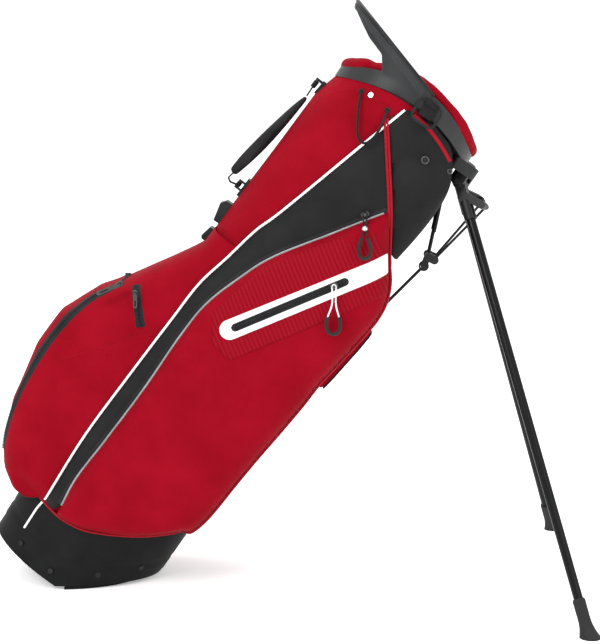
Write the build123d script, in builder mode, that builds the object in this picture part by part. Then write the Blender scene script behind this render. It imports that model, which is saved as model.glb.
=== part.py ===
from build123d import *
import math
import os

# Golf stand bag, leaning on its opened stand, in millimetres. The floor is Z = 0, +X runs from the
# bag's base towards the stand's feet and -Y is the near side. The origin is the middle of the foot
# plate's floor contact. Bag points are (c, y, t): t runs up the bag's own axis from the heel of its
# sole, c runs across it towards the stand, and y is the row's Y.

# ---------------------------------------------------------------- driving dimensions
LEAN = 34.5                      # the bag's lean from upright, degrees
HEEL_X = -60.0                   # where the sole's heel line meets the floor
FLOOR = Plane(origin=(HEEL_X, 0, 0))
SIN, COS = math.sin(math.radians(LEAN)), math.cos(math.radians(LEAN))
BAG = Plane(origin=(HEEL_X, 0, 0), x_dir=(COS, 0, -SIN), z_dir=(SIN, 0, COS))
SIDE = Plane(origin=(HEEL_X, 0, 0), x_dir=(COS, 0, -SIN), z_dir=(0, -1, 0))   # (c, t), outwards -Y

# Body tube: (t, lowest c, highest c, half width) of its outer ovals.
TUBE = [(0, -129, 46, 85), (100, -126, 57, 90), (200, -123, 75, 95), (400, -118, 104, 97),
        (600, -118, 110, 98), (850, -107, 116, 98), (885, -97, 116, 97), (930, -97, 116, 97)]
TUBE_WALL = 3.0
TUBE_BOTTOM = 20.0               # height of the tube's lower edge over the sole and the bevel

# Base boot.
BOOT = [(-20, -138, 115, 100), (0, -138, 116, 100), (190, -142, 116, 108)]
BOOT_WALL = 4.0
# The rim's height at c = 0 and its rise towards the stand, for its low and its high stretch.
BOOT_RIM, BOOT_RIM_SLOPE = 106.0, 0.16
BOOT_RIM_HIGH, BOOT_RIM_HIGH_SLOPE = 108.0, 0.58
BOOT_FLOOR = 15.0
BEVEL_GAP = 5.6                  # the bevel's height over the floor, just over the foot plate

# Foot plate and its hinge.
PLATE = 5.0
HINGE_LIFT = 6.0
HINGE_IN = HINGE_LIFT / math.tan(math.radians((180 - LEAN) / 2))   # axis to the heel line, along X
PLATE_TURN = LEAN                # the plate turns this far, until it lies in line with the sole
ACTUATOR_REACH = 84.83           # heel line to the actuator rod's lower pivot, along the floor
ACTUATOR_LIFT = 14.0

# Cuff: its outer oval, the saddle of its lower and upper edges, and the mouth.
CUFF = (-99.5, 142.5, 104)
MOUTH = (-90.5, 109.5, 90.5)
CUFF_LOW, CUFF_LOW_RISE = 885.0, 34.0
CUFF_HIGH, CUFF_HIGH_RISE = 905.0, 42.0
PAD_HEIGHT = 11.0

# Stand: hub pivot, foot, folded direction, and the lever that drives each leg.
HUB = Vector(149, -34, 861)
FOOT_SPREAD, FOOT_X = 290.0, 731.0
FOLDED = Vector(0.03, 0, -1).normalized()
LEVER = Vector(46, -24, 12)      # lever pin in the leg's own axes
LEG_RADIUS, LEG_WALL = 7.0, 1.0
HINGE_PIN, RUNNING = 3.0, 0.05
STRUT_PIVOT = Vector(124, 0, 861)
JUNCTION = Vector(175, 0, 740)   # the connector, stand open
JUNCTION_FOLDED = Vector(156, 0, 700.88)
STRUT_Y = 19.5
LINK_Y = 11.0
SOCKET = Vector(10.5, 0, 1.5)    # link rod socket, from the connector's middle
RING = Vector(4, 0, -17)         # actuator ring, from the connector's middle

os.makedirs("parts", exist_ok=True)
PIECES = {}


# ---------------------------------------------------------------- helpers
def place(point):
    """A bag point (c, y, t) in the row's frame."""
    return BAG.from_local_coords(Vector(point))


def turned(vector, direction, degrees):
    """A free vector turned by the right-hand rule."""
    return Vector(vector).rotate(Axis((0, 0, 0), direction), degrees)


def oval(t, low, high, half_width, inset=0.0):
    with BuildSketch(BAG.offset(t)) as sketch:
        with Locations(((low + high) / 2, 0)):
            Ellipse((high - low) / 2 - inset, half_width - inset)
    return sketch.sketch


def oval_solid(sections, inset=0.0):
    with BuildPart() as solid:
        loft(sections=[oval(*section, inset=inset) for section in sections], ruled=True)
    return solid.part


def straight_oval(size, low, high, inset=0.0):
    with BuildPart() as solid:
        add(oval(low, *size, inset=inset))
        extrude(amount=high - low, dir=BAG.z_dir)
    return solid.part


def outline_block(points, y_from, y_to, round_by=0.0):
    """A (c, t) outline, run from y = -y_from to y = -y_to."""
    with BuildPart() as block:
        with BuildSketch(SIDE.offset(y_from)) as face:
            with BuildLine():
                Polyline(*points, close=True)
            make_face()
            if round_by:
                fillet(face.vertices(), round_by)
        extrude(amount=y_to - y_from)
    return block.part


def puffed_block(points, y_from, y_edge, y_to, round_by, taper):
    """An outline block whose outer part draws in towards its outer face."""
    with BuildPart() as block:
        with BuildSketch(SIDE.offset(y_from)) as face:
            with BuildLine():
                Polyline(*points, close=True)
            make_face()
            fillet(face.vertices(), round_by)
        extrude(amount=y_edge - y_from)
        with BuildSketch(SIDE.offset(y_edge)) as outer_face:
            with BuildLine():
                Polyline(*points, close=True)
            make_face()
            fillet(outer_face.vertices(), round_by)
        extrude(amount=y_to - y_edge, taper=taper)
    return block.part


def saddle_block(low, high, rise_low, rise_high):
    """The space between two saddle surfaces over the mouth: height = t0 + rise * (y / width)^2."""
    width = CUFF[2]
    start = BAG.origin + BAG.x_dir * -200
    front = Plane(origin=start, x_dir=(0, 1, 0), z_dir=BAG.x_dir)      # (y, t), running along c
    flip = -1 if front.y_dir.dot(BAG.z_dir) < 0 else 1
    edge = width + 6
    lift = [base + rise * (edge / width) ** 2 for base, rise in ((low, rise_low), (high, rise_high))]
    with BuildPart() as block:
        with BuildSketch(front):
            with BuildLine():
                ThreePointArc((-edge, flip * lift[0]), (0, flip * low), (edge, flip * lift[0]))
                Line((edge, flip * lift[0]), (edge, flip * lift[1]))
                ThreePointArc((edge, flip * lift[1]), (0, flip * high), (-edge, flip * lift[1]))
                Line((-edge, flip * lift[1]), (-edge, flip * lift[0]))
            make_face()
        extrude(amount=400)
    return block.part


def rod_between(start, end, radius):
    """A round bar between two row points."""
    with BuildPart() as bar:
        with BuildSketch(Plane(origin=start, z_dir=(end - start))):
            Circle(radius)
        extrude(amount=(end - start).length)
    return bar.part


def half_space(plane, depth=600):
    """Everything under a plane, near the object."""
    with BuildPart() as block:
        with BuildSketch(plane):
            Rectangle(1800, 1200)
        extrude(amount=-depth)
    return block.part


def keep(name, part):
    PIECES[name] = part


def keep_pair(stem, near_part):
    """The near piece and its mirror image on the far side."""
    keep(f"{stem}_near", near_part)
    keep(f"{stem}_far", mirror(near_part, about=Plane.XZ))


# ---------------------------------------------------------------- shared solids
UNDER_BEVEL = half_space(FLOOR.offset(BEVEL_GAP))
UNDER_SOLE = half_space(BAG)


def under_rim(height, slope):
    tilt = math.degrees(math.atan(slope))
    plane = Plane(origin=place((0, 0, height)), x_dir=BAG.x_dir, z_dir=BAG.z_dir)
    return half_space(plane.rotated((0, -tilt, 0)))


UNDER_RIM = under_rim(BOOT_RIM, BOOT_RIM_SLOPE) + under_rim(BOOT_RIM_HIGH, BOOT_RIM_HIGH_SLOPE)
TUBE_OUTER = oval_solid(TUBE)
TUBE_INNER = oval_solid(TUBE, inset=TUBE_WALL)
UNDER_CUFF = saddle_block(-100, CUFF_LOW, CUFF_LOW_RISE, CUFF_LOW_RISE)
BOOT_OUTER = oval_solid(BOOT)
HINGE = Vector(HEEL_X + HINGE_IN, 0, HINGE_LIFT)


# ---------------------------------------------------------------- base
def base_screw_planes():
    """Four screws along each side of the boot, just over the sole."""
    _, low, high, half_width = BOOT[1]
    middle, half = (low + high) / 2, (high - low) / 2
    planes = []
    for angle, t in ((232, 20), (262, 17), (291, 52), (318, 92)):
        for side in (1, -1):
            turn = math.radians(side * angle)
            foot = Vector(middle + half * math.cos(turn), half_width * math.sin(turn), t)
            normal = Vector(math.cos(turn) / half, math.sin(turn) / half_width, 0).normalized()
            outwards = BAG.x_dir * normal.X + Vector(0, 1, 0) * normal.Y
            planes.append(Plane(origin=place(foot), z_dir=outwards))
    return planes


SCREWS = base_screw_planes()
BARREL, BARREL_IN, BARREL_OUT = 5.4, 22.0, 50.0
ACROSS = Plane(origin=HINGE, x_dir=(1, 0, 0), z_dir=(0, -1, 0))

with BuildPart() as base_boot:
    add(BOOT_OUTER)
    add(UNDER_RIM, mode=Mode.INTERSECT)
    add(UNDER_BEVEL, mode=Mode.SUBTRACT)
    add(UNDER_SOLE, mode=Mode.SUBTRACT)
boot_block = base_boot.part

with BuildPart() as boot_cavity:
    add(oval_solid(BOOT, inset=BOOT_WALL))
    add(half_space(BAG.offset(BOOT_FLOOR)), mode=Mode.SUBTRACT)
    add(half_space(FLOOR.offset(BEVEL_GAP + BOOT_WALL + 6)), mode=Mode.SUBTRACT)

with BuildPart() as sole_pocket:
    add(oval_solid(BOOT, inset=BOOT_WALL))
    add(half_space(BAG.offset(BOOT_FLOOR - BOOT_WALL)), mode=Mode.INTERSECT)
    add(outline_block([(-160, -20), (-16, -20), (-16, 30), (-160, 30)], -120, 120), mode=Mode.INTERSECT)

with BuildPart() as base_boot:
    add(boot_block)
    add(boot_cavity.part, mode=Mode.SUBTRACT)
    add(sole_pocket.part, mode=Mode.SUBTRACT)
    with BuildSketch(ACROSS.offset(-70)):                # room for the hinge barrels
        Circle(BARREL + 1.2)
    extrude(amount=140, mode=Mode.SUBTRACT)
    with BuildSketch(FLOOR.offset(-5)):                  # slot for the actuator rod
        with Locations((ACTUATOR_REACH + 14, 0)):
            Rectangle(62, 22)
    extrude(amount=70, mode=Mode.SUBTRACT)
    for side in (1, -1):                                 # hinge lugs at both ends of the barrels
        with BuildSketch(ACROSS.offset(side * 60 - 6)):
            Circle(BARREL)
            with Locations((-2, 8)):
                Rectangle(8, 12)
        extrude(amount=12)
    with BuildSketch(ACROSS.offset(-66)):
        Circle(2.5)
    extrude(amount=132, mode=Mode.SUBTRACT)
    for plane in SCREWS:
        with BuildSketch(plane.offset(-BOOT_WALL)):
            Circle(1.8)
        extrude(amount=12, mode=Mode.SUBTRACT)
keep("base_boot", base_boot.part)

with BuildPart() as sole_plate:
    add(sole_pocket.part)
    add(half_space(BAG.offset(3)), mode=Mode.INTERSECT)
    add(UNDER_SOLE, mode=Mode.SUBTRACT)
keep("sole_plate", sole_plate.part)

with BuildPart() as base_screws:
    for plane in SCREWS:
        with BuildSketch(plane.offset(-BOOT_WALL)):
            Circle(1.8)
        extrude(amount=BOOT_WALL + 2.2)
        with BuildSketch(plane.offset(1.8)):
            Circle(4.5)
        extrude(amount=1.4, taper=15)
    add(base_boot.part, mode=Mode.SUBTRACT)
keep("base_screws", base_screws.part)

with BuildPart() as foot_hinge_pin:
    with BuildSketch(ACROSS.offset(-66)):
        Circle(2.5)
    extrude(amount=132)
keep("foot_hinge_pin", foot_hinge_pin.part)

# The foot plate is drawn lying on the floor: its outline is the boot's own oval, so that it lies in
# line with the sole once the bag stands upright.
plate_shift = 2 * HINGE_IN
QPIN = Vector(HEEL_X + ACTUATOR_REACH, 0, ACTUATOR_LIFT)
with BuildPart() as foot_plate:
    with BuildSketch(FLOOR) as outline:
        with Locations((sum(BOOT[1][1:3]) / 2 + plate_shift, 0)):
            Ellipse((BOOT[1][2] - BOOT[1][1]) / 2 - 1, BOOT[1][3] - 1)
        with Locations((-100 + 6, 0)):
            Rectangle(200, 240, mode=Mode.SUBTRACT)
        with Locations((4, 60), (4, -60)):
            Rectangle(16, 15, mode=Mode.SUBTRACT)
    extrude(amount=PLATE)
    fillet(foot_plate.faces().sort_by(Axis.Z)[-1].edges(), 1.5)
    for side in (1, -1):
        with BuildSketch(ACROSS.offset(side * (BARREL_IN + BARREL_OUT) / 2 - 14)):
            Circle(BARREL)
            with Locations((6, -HINGE_LIFT / 2 - 0.5)):
                Rectangle(12, PLATE)
        extrude(amount=28)
    with BuildSketch(ACROSS.offset(-60)):
        Circle(2.5 + RUNNING)
    extrude(amount=120, mode=Mode.SUBTRACT)
    with BuildSketch(Plane(origin=(QPIN.X, 0, 0), x_dir=(1, 0, 0), z_dir=(0, -1, 0)).offset(-8)):
        with Locations((0, ACTUATOR_LIFT)):
            Circle(5)
        with Locations((0, ACTUATOR_LIFT / 2)):
            Rectangle(10, ACTUATOR_LIFT)
    extrude(amount=16)
    with Locations((QPIN.X, 0, PLATE + 10)):
        Box(16, 8.6, 20, mode=Mode.SUBTRACT)
    with BuildSketch(Plane(origin=QPIN, z_dir=(0, -1, 0)).offset(-10)):
        Circle(2)
    extrude(amount=20, mode=Mode.SUBTRACT)
keep("foot_plate", foot_plate.part)

with BuildPart() as actuator_pin:
    with BuildSketch(Plane(origin=QPIN, z_dir=(0, -1, 0)).offset(-8)):
        Circle(2)
    extrude(amount=16)
keep("actuator_pin", actuator_pin.part)

# ---------------------------------------------------------------- body tube and what is inside it
with BuildPart() as tube_brim:                          # the tube's top follows the cuff's saddle
    add(straight_oval(TUBE[-1][1:], CUFF_LOW, 960))
    add(straight_oval(TUBE[-1][1:], CUFF_LOW - 5, 970, inset=TUBE_WALL), mode=Mode.SUBTRACT)
    add(UNDER_CUFF, mode=Mode.INTERSECT)

with BuildPart() as tube_wall:
    add(oval_solid(TUBE[:-1]))
    add(oval_solid(TUBE[:-1], inset=TUBE_WALL), mode=Mode.SUBTRACT)
    add(half_space(BAG.offset(TUBE_BOTTOM)), mode=Mode.SUBTRACT)
    add(half_space(FLOOR.offset(TUBE_BOTTOM + 4)), mode=Mode.SUBTRACT)
    add(tube_brim.part)

# The tube is sewn from long gores in two lengths, which meet edge to edge.
GORES, GORE_C, GORE_SEAM = 8, -8.0, 400.0


def tube_gores(low, high):
    """The wall between two heights, cut into gores by half-planes from a line inside the tube."""
    pieces = []
    reach = 400 / math.cos(math.pi / GORES)
    for k in range(GORES):
        corners = [(GORE_C, 0)]
        for turn in (2 * math.pi * (k - 0.5) / GORES, 2 * math.pi * (k + 0.5) / GORES):
            corners.append((GORE_C + reach * math.cos(turn), reach * math.sin(turn)))
        with BuildPart() as gore:
            with BuildSketch(BAG.offset(low)):
                with BuildLine():
                    Polyline(*corners, close=True)
                make_face()
            extrude(amount=high - low)
            add(tube_wall.part, mode=Mode.INTERSECT)
        pieces += list(gore.part.solids())
    return pieces


keep("body_tube", Compound(tube_gores(-200, GORE_SEAM) + tube_gores(GORE_SEAM, 1000)))

with BuildPart() as stay_rods:
    for foot, head in (((-112, 12, 36), (-98, 12, 850)), ((-52, 77, 36), (-8, 89, 850)),
                       ((-52, -77, 36), (-8, -89, 850))):
        add(rod_between(place(foot), place(head), 3.0))
keep("stay_rods", stay_rods.part)

# ---------------------------------------------------------------- cuff
SPIGOT_DEPTH = 22.0
SEAT = CUFF_LOW + 5              # height of the seat under the divider top
with BuildPart() as cuff_collar:
    add(straight_oval(CUFF, 860, 980))
    add(saddle_block(CUFF_LOW, CUFF_HIGH, CUFF_LOW_RISE, CUFF_HIGH_RISE), mode=Mode.INTERSECT)
    add(straight_oval(MOUTH, 840, 990), mode=Mode.SUBTRACT)
keep("cuff_collar", cuff_collar.part)

with BuildPart() as cuff_ring:
    add(straight_oval(TUBE[6][1:], CUFF_LOW - SPIGOT_DEPTH, 990, inset=TUBE_WALL + 0.8))
    add(UNDER_CUFF, mode=Mode.INTERSECT)
    add(straight_oval(MOUTH, 840, SEAT, inset=4), mode=Mode.SUBTRACT)
    add(straight_oval(MOUTH, SEAT, 990), mode=Mode.SUBTRACT)
keep("cuff_ring", cuff_ring.part)

DIVIDER_LOW, DIVIDER_HIGH, DIVIDER_C = 26.0, 889.5, (-36.0, 9.5)
SHEET = 1.6
DIVIDER_SPACE = oval_solid(TUBE, inset=TUBE_WALL + 8)
with BuildPart() as divider_sheet_long:
    add(outline_block([(-200, DIVIDER_LOW), (200, DIVIDER_LOW + 130), (200, DIVIDER_HIGH),
                       (-200, DIVIDER_HIGH)], -SHEET / 2, SHEET / 2))
    add(DIVIDER_SPACE, mode=Mode.INTERSECT)
    add(cuff_ring.part, mode=Mode.SUBTRACT)

with BuildPart() as divider_sheet_near:
    add(outline_block([(DIVIDER_C[0], DIVIDER_LOW), (DIVIDER_C[0] + SHEET, DIVIDER_LOW),
                       (DIVIDER_C[1] + SHEET, DIVIDER_HIGH), (DIVIDER_C[1], DIVIDER_HIGH)],
                      SHEET / 2 + 0.2, 120))
    add(DIVIDER_SPACE, mode=Mode.INTERSECT)
    add(cuff_ring.part, mode=Mode.SUBTRACT)

with BuildPart() as divider_sheets:
    add(divider_sheet_long.part)
    add(divider_sheet_near.part)
    add(mirror(divider_sheet_near.part, about=Plane.XZ, mode=Mode.PRIVATE))
keep("divider_sheets", divider_sheets.part)


with BuildPart() as cuff_pad:
    add(straight_oval(CUFF, 860, 1000, inset=3.0))
    add(straight_oval(MOUTH, 860, 1000), mode=Mode.SUBTRACT)
    add(saddle_block(CUFF_HIGH, CUFF_HIGH + PAD_HEIGHT, CUFF_HIGH_RISE, CUFF_HIGH_RISE),
        mode=Mode.INTERSECT)
keep("cuff_pad", cuff_pad.part)

BAR = 9.0
with BuildPart() as divider_top:
    with BuildSketch(BAG.offset(SEAT)):
        with Locations(((MOUTH[0] + MOUTH[1]) / 2, 0)):
            Ellipse((MOUTH[1] - MOUTH[0]) / 2 - 0.3, MOUTH[2] - 0.3)
            Ellipse((MOUTH[1] - MOUTH[0]) / 2 - 8, MOUTH[2] - 8, mode=Mode.SUBTRACT)
            Rectangle(BAR, 2 * MOUTH[2] - 6)
            Rectangle(MOUTH[1] - MOUTH[0] - 6, BAR)
    extrude(amount=11)
    fillet(divider_top.faces().sort_by(SortBy.AREA)[-2:].edges().filter_by(GeomType.LINE), 2)
keep("divider_top", divider_top.part)

# The lift handle: a loop whose arms leave the cuff's raised sides and whose bar stands beyond the
# spine side of the mouth.
HANDLE_SIDE = [(38, 938), (38, 947), (-136, 996), (-131, 984), (-117, 973), (-98, 961), (-68, 951),
               (-60, 936)]
with BuildPart() as lift_handle:
    add(outline_block(HANDLE_SIDE, -110, 110))
    with BuildSketch(BAG.offset(900)) as plan:
        with Locations((-46, 0)):
            RectangleRounded(180, 208, 66)
        with Locations((-16, 0)):
            RectangleRounded(206, 176, 52, mode=Mode.SUBTRACT)
        with Locations((60, 0)):
            Rectangle(44, 240, mode=Mode.SUBTRACT)
    extrude(amount=120, mode=Mode.INTERSECT)
    add(cuff_collar.part, mode=Mode.SUBTRACT)
    add(cuff_pad.part, mode=Mode.SUBTRACT)
keep("lift_handle", lift_handle.part)


# ---------------------------------------------------------------- soft pockets and panels
SIDE_POCKET = [(-78, 92), (112, 152), (146, 240), (148, 386), (152, 500), (160, 590), (152, 660),
               (118, 720), (66, 744), (24, 686), (-25, 612), (-50, 556), (-70, 498), (-71, 330)]
with BuildPart() as side_pocket:
    add(puffed_block(SIDE_POCKET, 46, 108, 140, 12, 38))
    add(TUBE_OUTER, mode=Mode.SUBTRACT)
    add(UNDER_RIM, mode=Mode.SUBTRACT)
    add(BOOT_OUTER, mode=Mode.SUBTRACT)
keep_pair("side_pocket", side_pocket.part.solids().sort_by(SortBy.VOLUME)[-1])

SIDE_PANEL = [(-103, 82), (-82, 90), (-72, 330), (-71, 498), (-51, 556), (-26, 612), (23, 686),
              (65, 745), (90, 756), (38, 832), (-4, 842), (-47, 684), (-88, 520), (-97, 440), (-103, 230)]
with BuildPart() as side_panel:
    add(outline_block(SIDE_PANEL, 60, 106))
    add(TUBE_OUTER, mode=Mode.SUBTRACT)
    add(UNDER_RIM, mode=Mode.SUBTRACT)
    add(BOOT_OUTER, mode=Mode.SUBTRACT)
    add(side_pocket.part, mode=Mode.SUBTRACT)
keep_pair("side_panel", side_panel.part.solids().sort_by(SortBy.VOLUME)[-1])

BALL_POCKET = [(-150, 70), (-190, 98), (-223, 193), (-244, 284), (-243, 346), (-215, 411),
               (-156, 499), (-125, 562), (-60, 562), (-60, 90)]
with BuildPart() as ball_pocket:
    add(outline_block(BALL_POCKET, -90, 90, 10))
    fillet(ball_pocket.edges().filter_by(lambda e: e.center().X < 150).group_by(Axis.Y)[0], 14)
    fillet(ball_pocket.edges().filter_by(lambda e: e.center().X < 150).group_by(Axis.Y)[-1], 14)
    add(TUBE_OUTER, mode=Mode.SUBTRACT)
    add(UNDER_RIM, mode=Mode.SUBTRACT)
    add(BOOT_OUTER, mode=Mode.SUBTRACT)
    add(PIECES["side_panel_near"], mode=Mode.SUBTRACT)
    add(PIECES["side_panel_far"], mode=Mode.SUBTRACT)
keep("ball_pocket", ball_pocket.part.solids().sort_by(SortBy.VOLUME)[-1])

LEG_PANEL = [(60, 852), (122, 855), (142, 812), (140, 765), (134, 712), (110, 728), (84, 774)]
with BuildPart() as leg_panel:
    add(outline_block(LEG_PANEL, 46, 96, 6))
    add(TUBE_OUTER, mode=Mode.SUBTRACT)
    add(side_pocket.part, mode=Mode.SUBTRACT)
    add(side_panel.part, mode=Mode.SUBTRACT)
keep_pair("leg_panel", leg_panel.part.solids().sort_by(SortBy.VOLUME)[-1])


# ---------------------------------------------------------------- stand
def leg_frame(side):
    """Hub pivot, opened direction, hinge axis and fold angle of one leg; side is -1 near, 1 far."""
    pivot = place((HUB.X, -side * HUB.Y, HUB.Z))
    opened = (Vector(FOOT_X, side * FOOT_SPREAD, 0) - pivot).normalized()
    folded = BAG.x_dir * FOLDED.X + BAG.z_dir * FOLDED.Z
    axis = opened.cross(folded).normalized()
    return pivot, opened, axis, opened.get_angle(folded)


H, U, A, FOLD = leg_frame(-1)
LEG_LENGTH = (Vector(FOOT_X, -FOOT_SPREAD, 0) - H).length
LEG = Plane(origin=H, x_dir=U, z_dir=A)          # the leg's own axes: x along it, z its hinge
ALONG = Plane(origin=H, z_dir=U)
TUBE_START, TUBE_END = 60.0, LEG_LENGTH - 24
EAR_GAP = 7.6

with BuildPart() as leg_head:
    with BuildSketch(LEG.offset(-7)):
        Circle(10)
        with Locations((TUBE_START / 2, 0)):
            Rectangle(TUBE_START, 15)
        with Locations((33, LEVER.Y / 2)):
            SlotCenterToCenter(35, 12, rotation=-43)
    extrude(amount=14)
    with BuildSketch(LEG.offset(7)):
        with Locations((LEVER.X, LEVER.Y)):
            Circle(5.5)
    extrude(amount=LEVER.Z - 3.7 - 7)
    with BuildSketch(ALONG.offset(30)):
        Circle(9.5)
    extrude(amount=TUBE_START - 30)
    with BuildSketch(ALONG.offset(TUBE_START)):
        Circle(LEG_RADIUS - LEG_WALL)
    extrude(amount=28)
    with BuildSketch(LEG.offset(-7)):
        Circle(HINGE_PIN + RUNNING)
    extrude(amount=14, mode=Mode.SUBTRACT)

K = H + U * LEVER.X + LEG.y_dir * LEVER.Y + A * LEVER.Z
SWING_IN = (math.degrees(math.atan2(JUNCTION.X - STRUT_PIVOT.X, STRUT_PIVOT.Z - JUNCTION.Z))
            - math.degrees(math.atan2(JUNCTION_FOLDED.X - STRUT_PIVOT.X, STRUT_PIVOT.Z - JUNCTION_FOLDED.Z)))
STRUT_OUT = (JUNCTION_FOLDED - STRUT_PIVOT).length - (JUNCTION - STRUT_PIVOT).length
P2, J0 = place(STRUT_PIVOT), place(JUNCTION)
E0 = (J0 - P2).normalized()


def on_junction(offset, folded):
    """A point carried by the connector, with the stand open or folded; offset is (c, y, t)."""
    point = place(JUNCTION + Vector(offset))
    if not folded:
        return point
    return P2 + turned(point - P2, (0, 1, 0), SWING_IN) + turned(E0, (0, 1, 0), SWING_IN) * STRUT_OUT


S0, S1 = (on_junction((SOCKET.X, -LINK_Y, SOCKET.Z), folded) for folded in (False, True))
K1 = H + turned(K - H, A, FOLD)
LINK0, LINK1 = S0 - K, turned(S1 - K1, A, -FOLD)
LINK_AXIS = LINK0.cross(LINK1).normalized()
LINK_TURN = LINK0.get_angle(LINK1)
R0, R1 = (on_junction(RING, folded) for folded in (False, True))
Q1 = HINGE + turned(QPIN - HINGE, (0, 1, 0), PLATE_TURN)
ROD0, ROD1 = R0 - QPIN, R1 - Q1
ROD_TURN = math.degrees(math.atan2(ROD1.X, ROD1.Z) - math.atan2(ROD0.X, ROD0.Z)) - PLATE_TURN

INWARDS = Plane(origin=K, z_dir=LINK_AXIS * -1)      # the link pin's own axis, away from the leg
with BuildPart() as leg_head_bored:
    add(leg_head.part)
    with BuildSketch(INWARDS.offset(-8)):
        Circle(1.5)
    extrude(amount=20, mode=Mode.SUBTRACT)
keep_pair("leg_head", leg_head_bored.part)

with BuildPart() as link_pin:
    with BuildSketch(INWARDS.offset(-8)):
        Circle(1.5)
    extrude(amount=11.2)
    with BuildSketch(INWARDS.offset(2.9)):
        Circle(3)
    extrude(amount=1.6)
keep_pair("link_pin", link_pin.part)

with BuildPart() as leg_tube:
    with BuildSketch(ALONG.offset(TUBE_START)):
        Circle(LEG_RADIUS)
        Circle(LEG_RADIUS - LEG_WALL, mode=Mode.SUBTRACT)
    extrude(amount=TUBE_END - TUBE_START)
keep_pair("leg_tube", leg_tube.part)

# The rubber foot is turned about the leg, flares to its tread and is cut flat by the floor.
with BuildPart() as leg_foot:
    with BuildSketch(Plane(origin=H + U * (LEG_LENGTH - 56), x_dir=A, z_dir=LEG.y_dir)) as profile:
        with BuildLine():
            Line((0, 0), (8.6, 0))
            Line((8.6, 0), (9.4, 3))
            Line((9.4, 3), (9.2, 26))
            Spline((9.2, 26), (10.6, 42), (16, 58))
            Line((16, 58), (16, 66))
            Line((16, 66), (0, 66))
            Line((0, 66), (0, 0))
        make_face()
    revolve(axis=Axis(H, U))
    with BuildSketch(ALONG.offset(LEG_LENGTH - 70)):
        Circle(LEG_RADIUS)
    extrude(amount=70 - 24, mode=Mode.SUBTRACT)
    add(half_space(Plane.XY), mode=Mode.SUBTRACT)
keep_pair("leg_foot", leg_foot.part)

# Hub block: a plate under the cuff, two ears for each leg and a lug for the return struts.
UP = Vector(BAG.z_dir.dot(U), BAG.z_dir.dot(LEG.y_dir), 0).normalized()
with BuildPart() as hub_ears:
    for z_low in (-EAR_GAP - 4, EAR_GAP):
        with BuildSketch(LEG.offset(z_low)):
            Circle(9)
            with Locations((UP.X * 11, UP.Y * 11)):
                Rectangle(22, 18, rotation=math.degrees(math.atan2(UP.Y, UP.X)))
        extrude(amount=4)
with BuildPart() as hub_block:
    with BuildSketch(BAG.offset(874)):
        with Locations((139, 0)):
            RectangleRounded(44, 104, 8)
    extrude(amount=30)
    add(hub_ears.part)
    add(mirror(hub_ears.part, about=Plane.XZ, mode=Mode.PRIVATE))
    with BuildSketch(SIDE.offset(-15.8)):
        with Locations((STRUT_PIVOT.X, STRUT_PIVOT.Z)):
            Circle(4.6)
        with Locations((STRUT_PIVOT.X, STRUT_PIVOT.Z + 8)):
            Rectangle(9.2, 16)
    extrude(amount=31.6)
    add(UNDER_CUFF, mode=Mode.INTERSECT)
    add(TUBE_OUTER, mode=Mode.SUBTRACT)
    with BuildSketch(LEG.offset(-16)):
        Circle(HINGE_PIN)
    extrude(amount=32, mode=Mode.SUBTRACT)
    far_leg = Plane(origin=leg_frame(1)[0], x_dir=leg_frame(1)[1], z_dir=leg_frame(1)[2])
    with BuildSketch(far_leg.offset(-16)):
        Circle(HINGE_PIN)
    extrude(amount=32, mode=Mode.SUBTRACT)
    with BuildSketch(SIDE.offset(-30)):
        with Locations((STRUT_PIVOT.X, STRUT_PIVOT.Z)):
            Circle(2)
    extrude(amount=60, mode=Mode.SUBTRACT)
keep("hub_block", hub_block.part)

with BuildPart() as hub_pins:
    for plane in (LEG, far_leg):
        near = plane is LEG
        with BuildSketch(plane.offset(-EAR_GAP - 4 if near else -EAR_GAP - 4)):
            Circle(HINGE_PIN)
        extrude(amount=2 * (EAR_GAP + 4))
        with BuildSketch(plane.offset(-EAR_GAP - 4 - 3 if near else EAR_GAP + 4)):
            RegularPolygon(5, 6)
        extrude(amount=3)
    with BuildSketch(SIDE.offset(-23.2)):
        with Locations((STRUT_PIVOT.X, STRUT_PIVOT.Z)):
            Circle(2)
    extrude(amount=46.4)
    for start in (-25.2, 23.2):
        with BuildSketch(SIDE.offset(start)):
            with Locations((STRUT_PIVOT.X, STRUT_PIVOT.Z)):
                Circle(3.4)
        extrude(amount=2)
keep("hub_pins", hub_pins.part)

STRUT = Plane(origin=P2, x_dir=(0, 1, 0), z_dir=E0)
STRUT_LENGTH = (J0 - P2).length
with BuildPart() as strut_sleeves:
    for y in (-STRUT_Y, STRUT_Y):
        with BuildSketch(SIDE.offset(-y - 2.5)):
            with Locations((STRUT_PIVOT.X, STRUT_PIVOT.Z)):
                Circle(4.6)
        extrude(amount=5)
        with BuildSketch(STRUT.offset(3)):
            with Locations((y, 0)):
                Circle(3.4)
        extrude(amount=89)
        with BuildSketch(STRUT.offset(12)):
            with Locations((y, 0)):
                Circle(2 + RUNNING)
        extrude(amount=90, mode=Mode.SUBTRACT)
        with BuildSketch(SIDE.offset(-y - 4)):
            with Locations((STRUT_PIVOT.X, STRUT_PIVOT.Z)):
                Circle(2 + RUNNING)
        extrude(amount=8, mode=Mode.SUBTRACT)
keep("strut_sleeves", strut_sleeves.part)

with BuildPart() as strut_rods:
    for y in (-STRUT_Y, STRUT_Y):
        with BuildSketch(STRUT.offset(18)):
            with Locations((y, 0)):
                Circle(2)
        extrude(amount=STRUT_LENGTH - 18 - 2)
keep("strut_rods", strut_rods.part)


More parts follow.
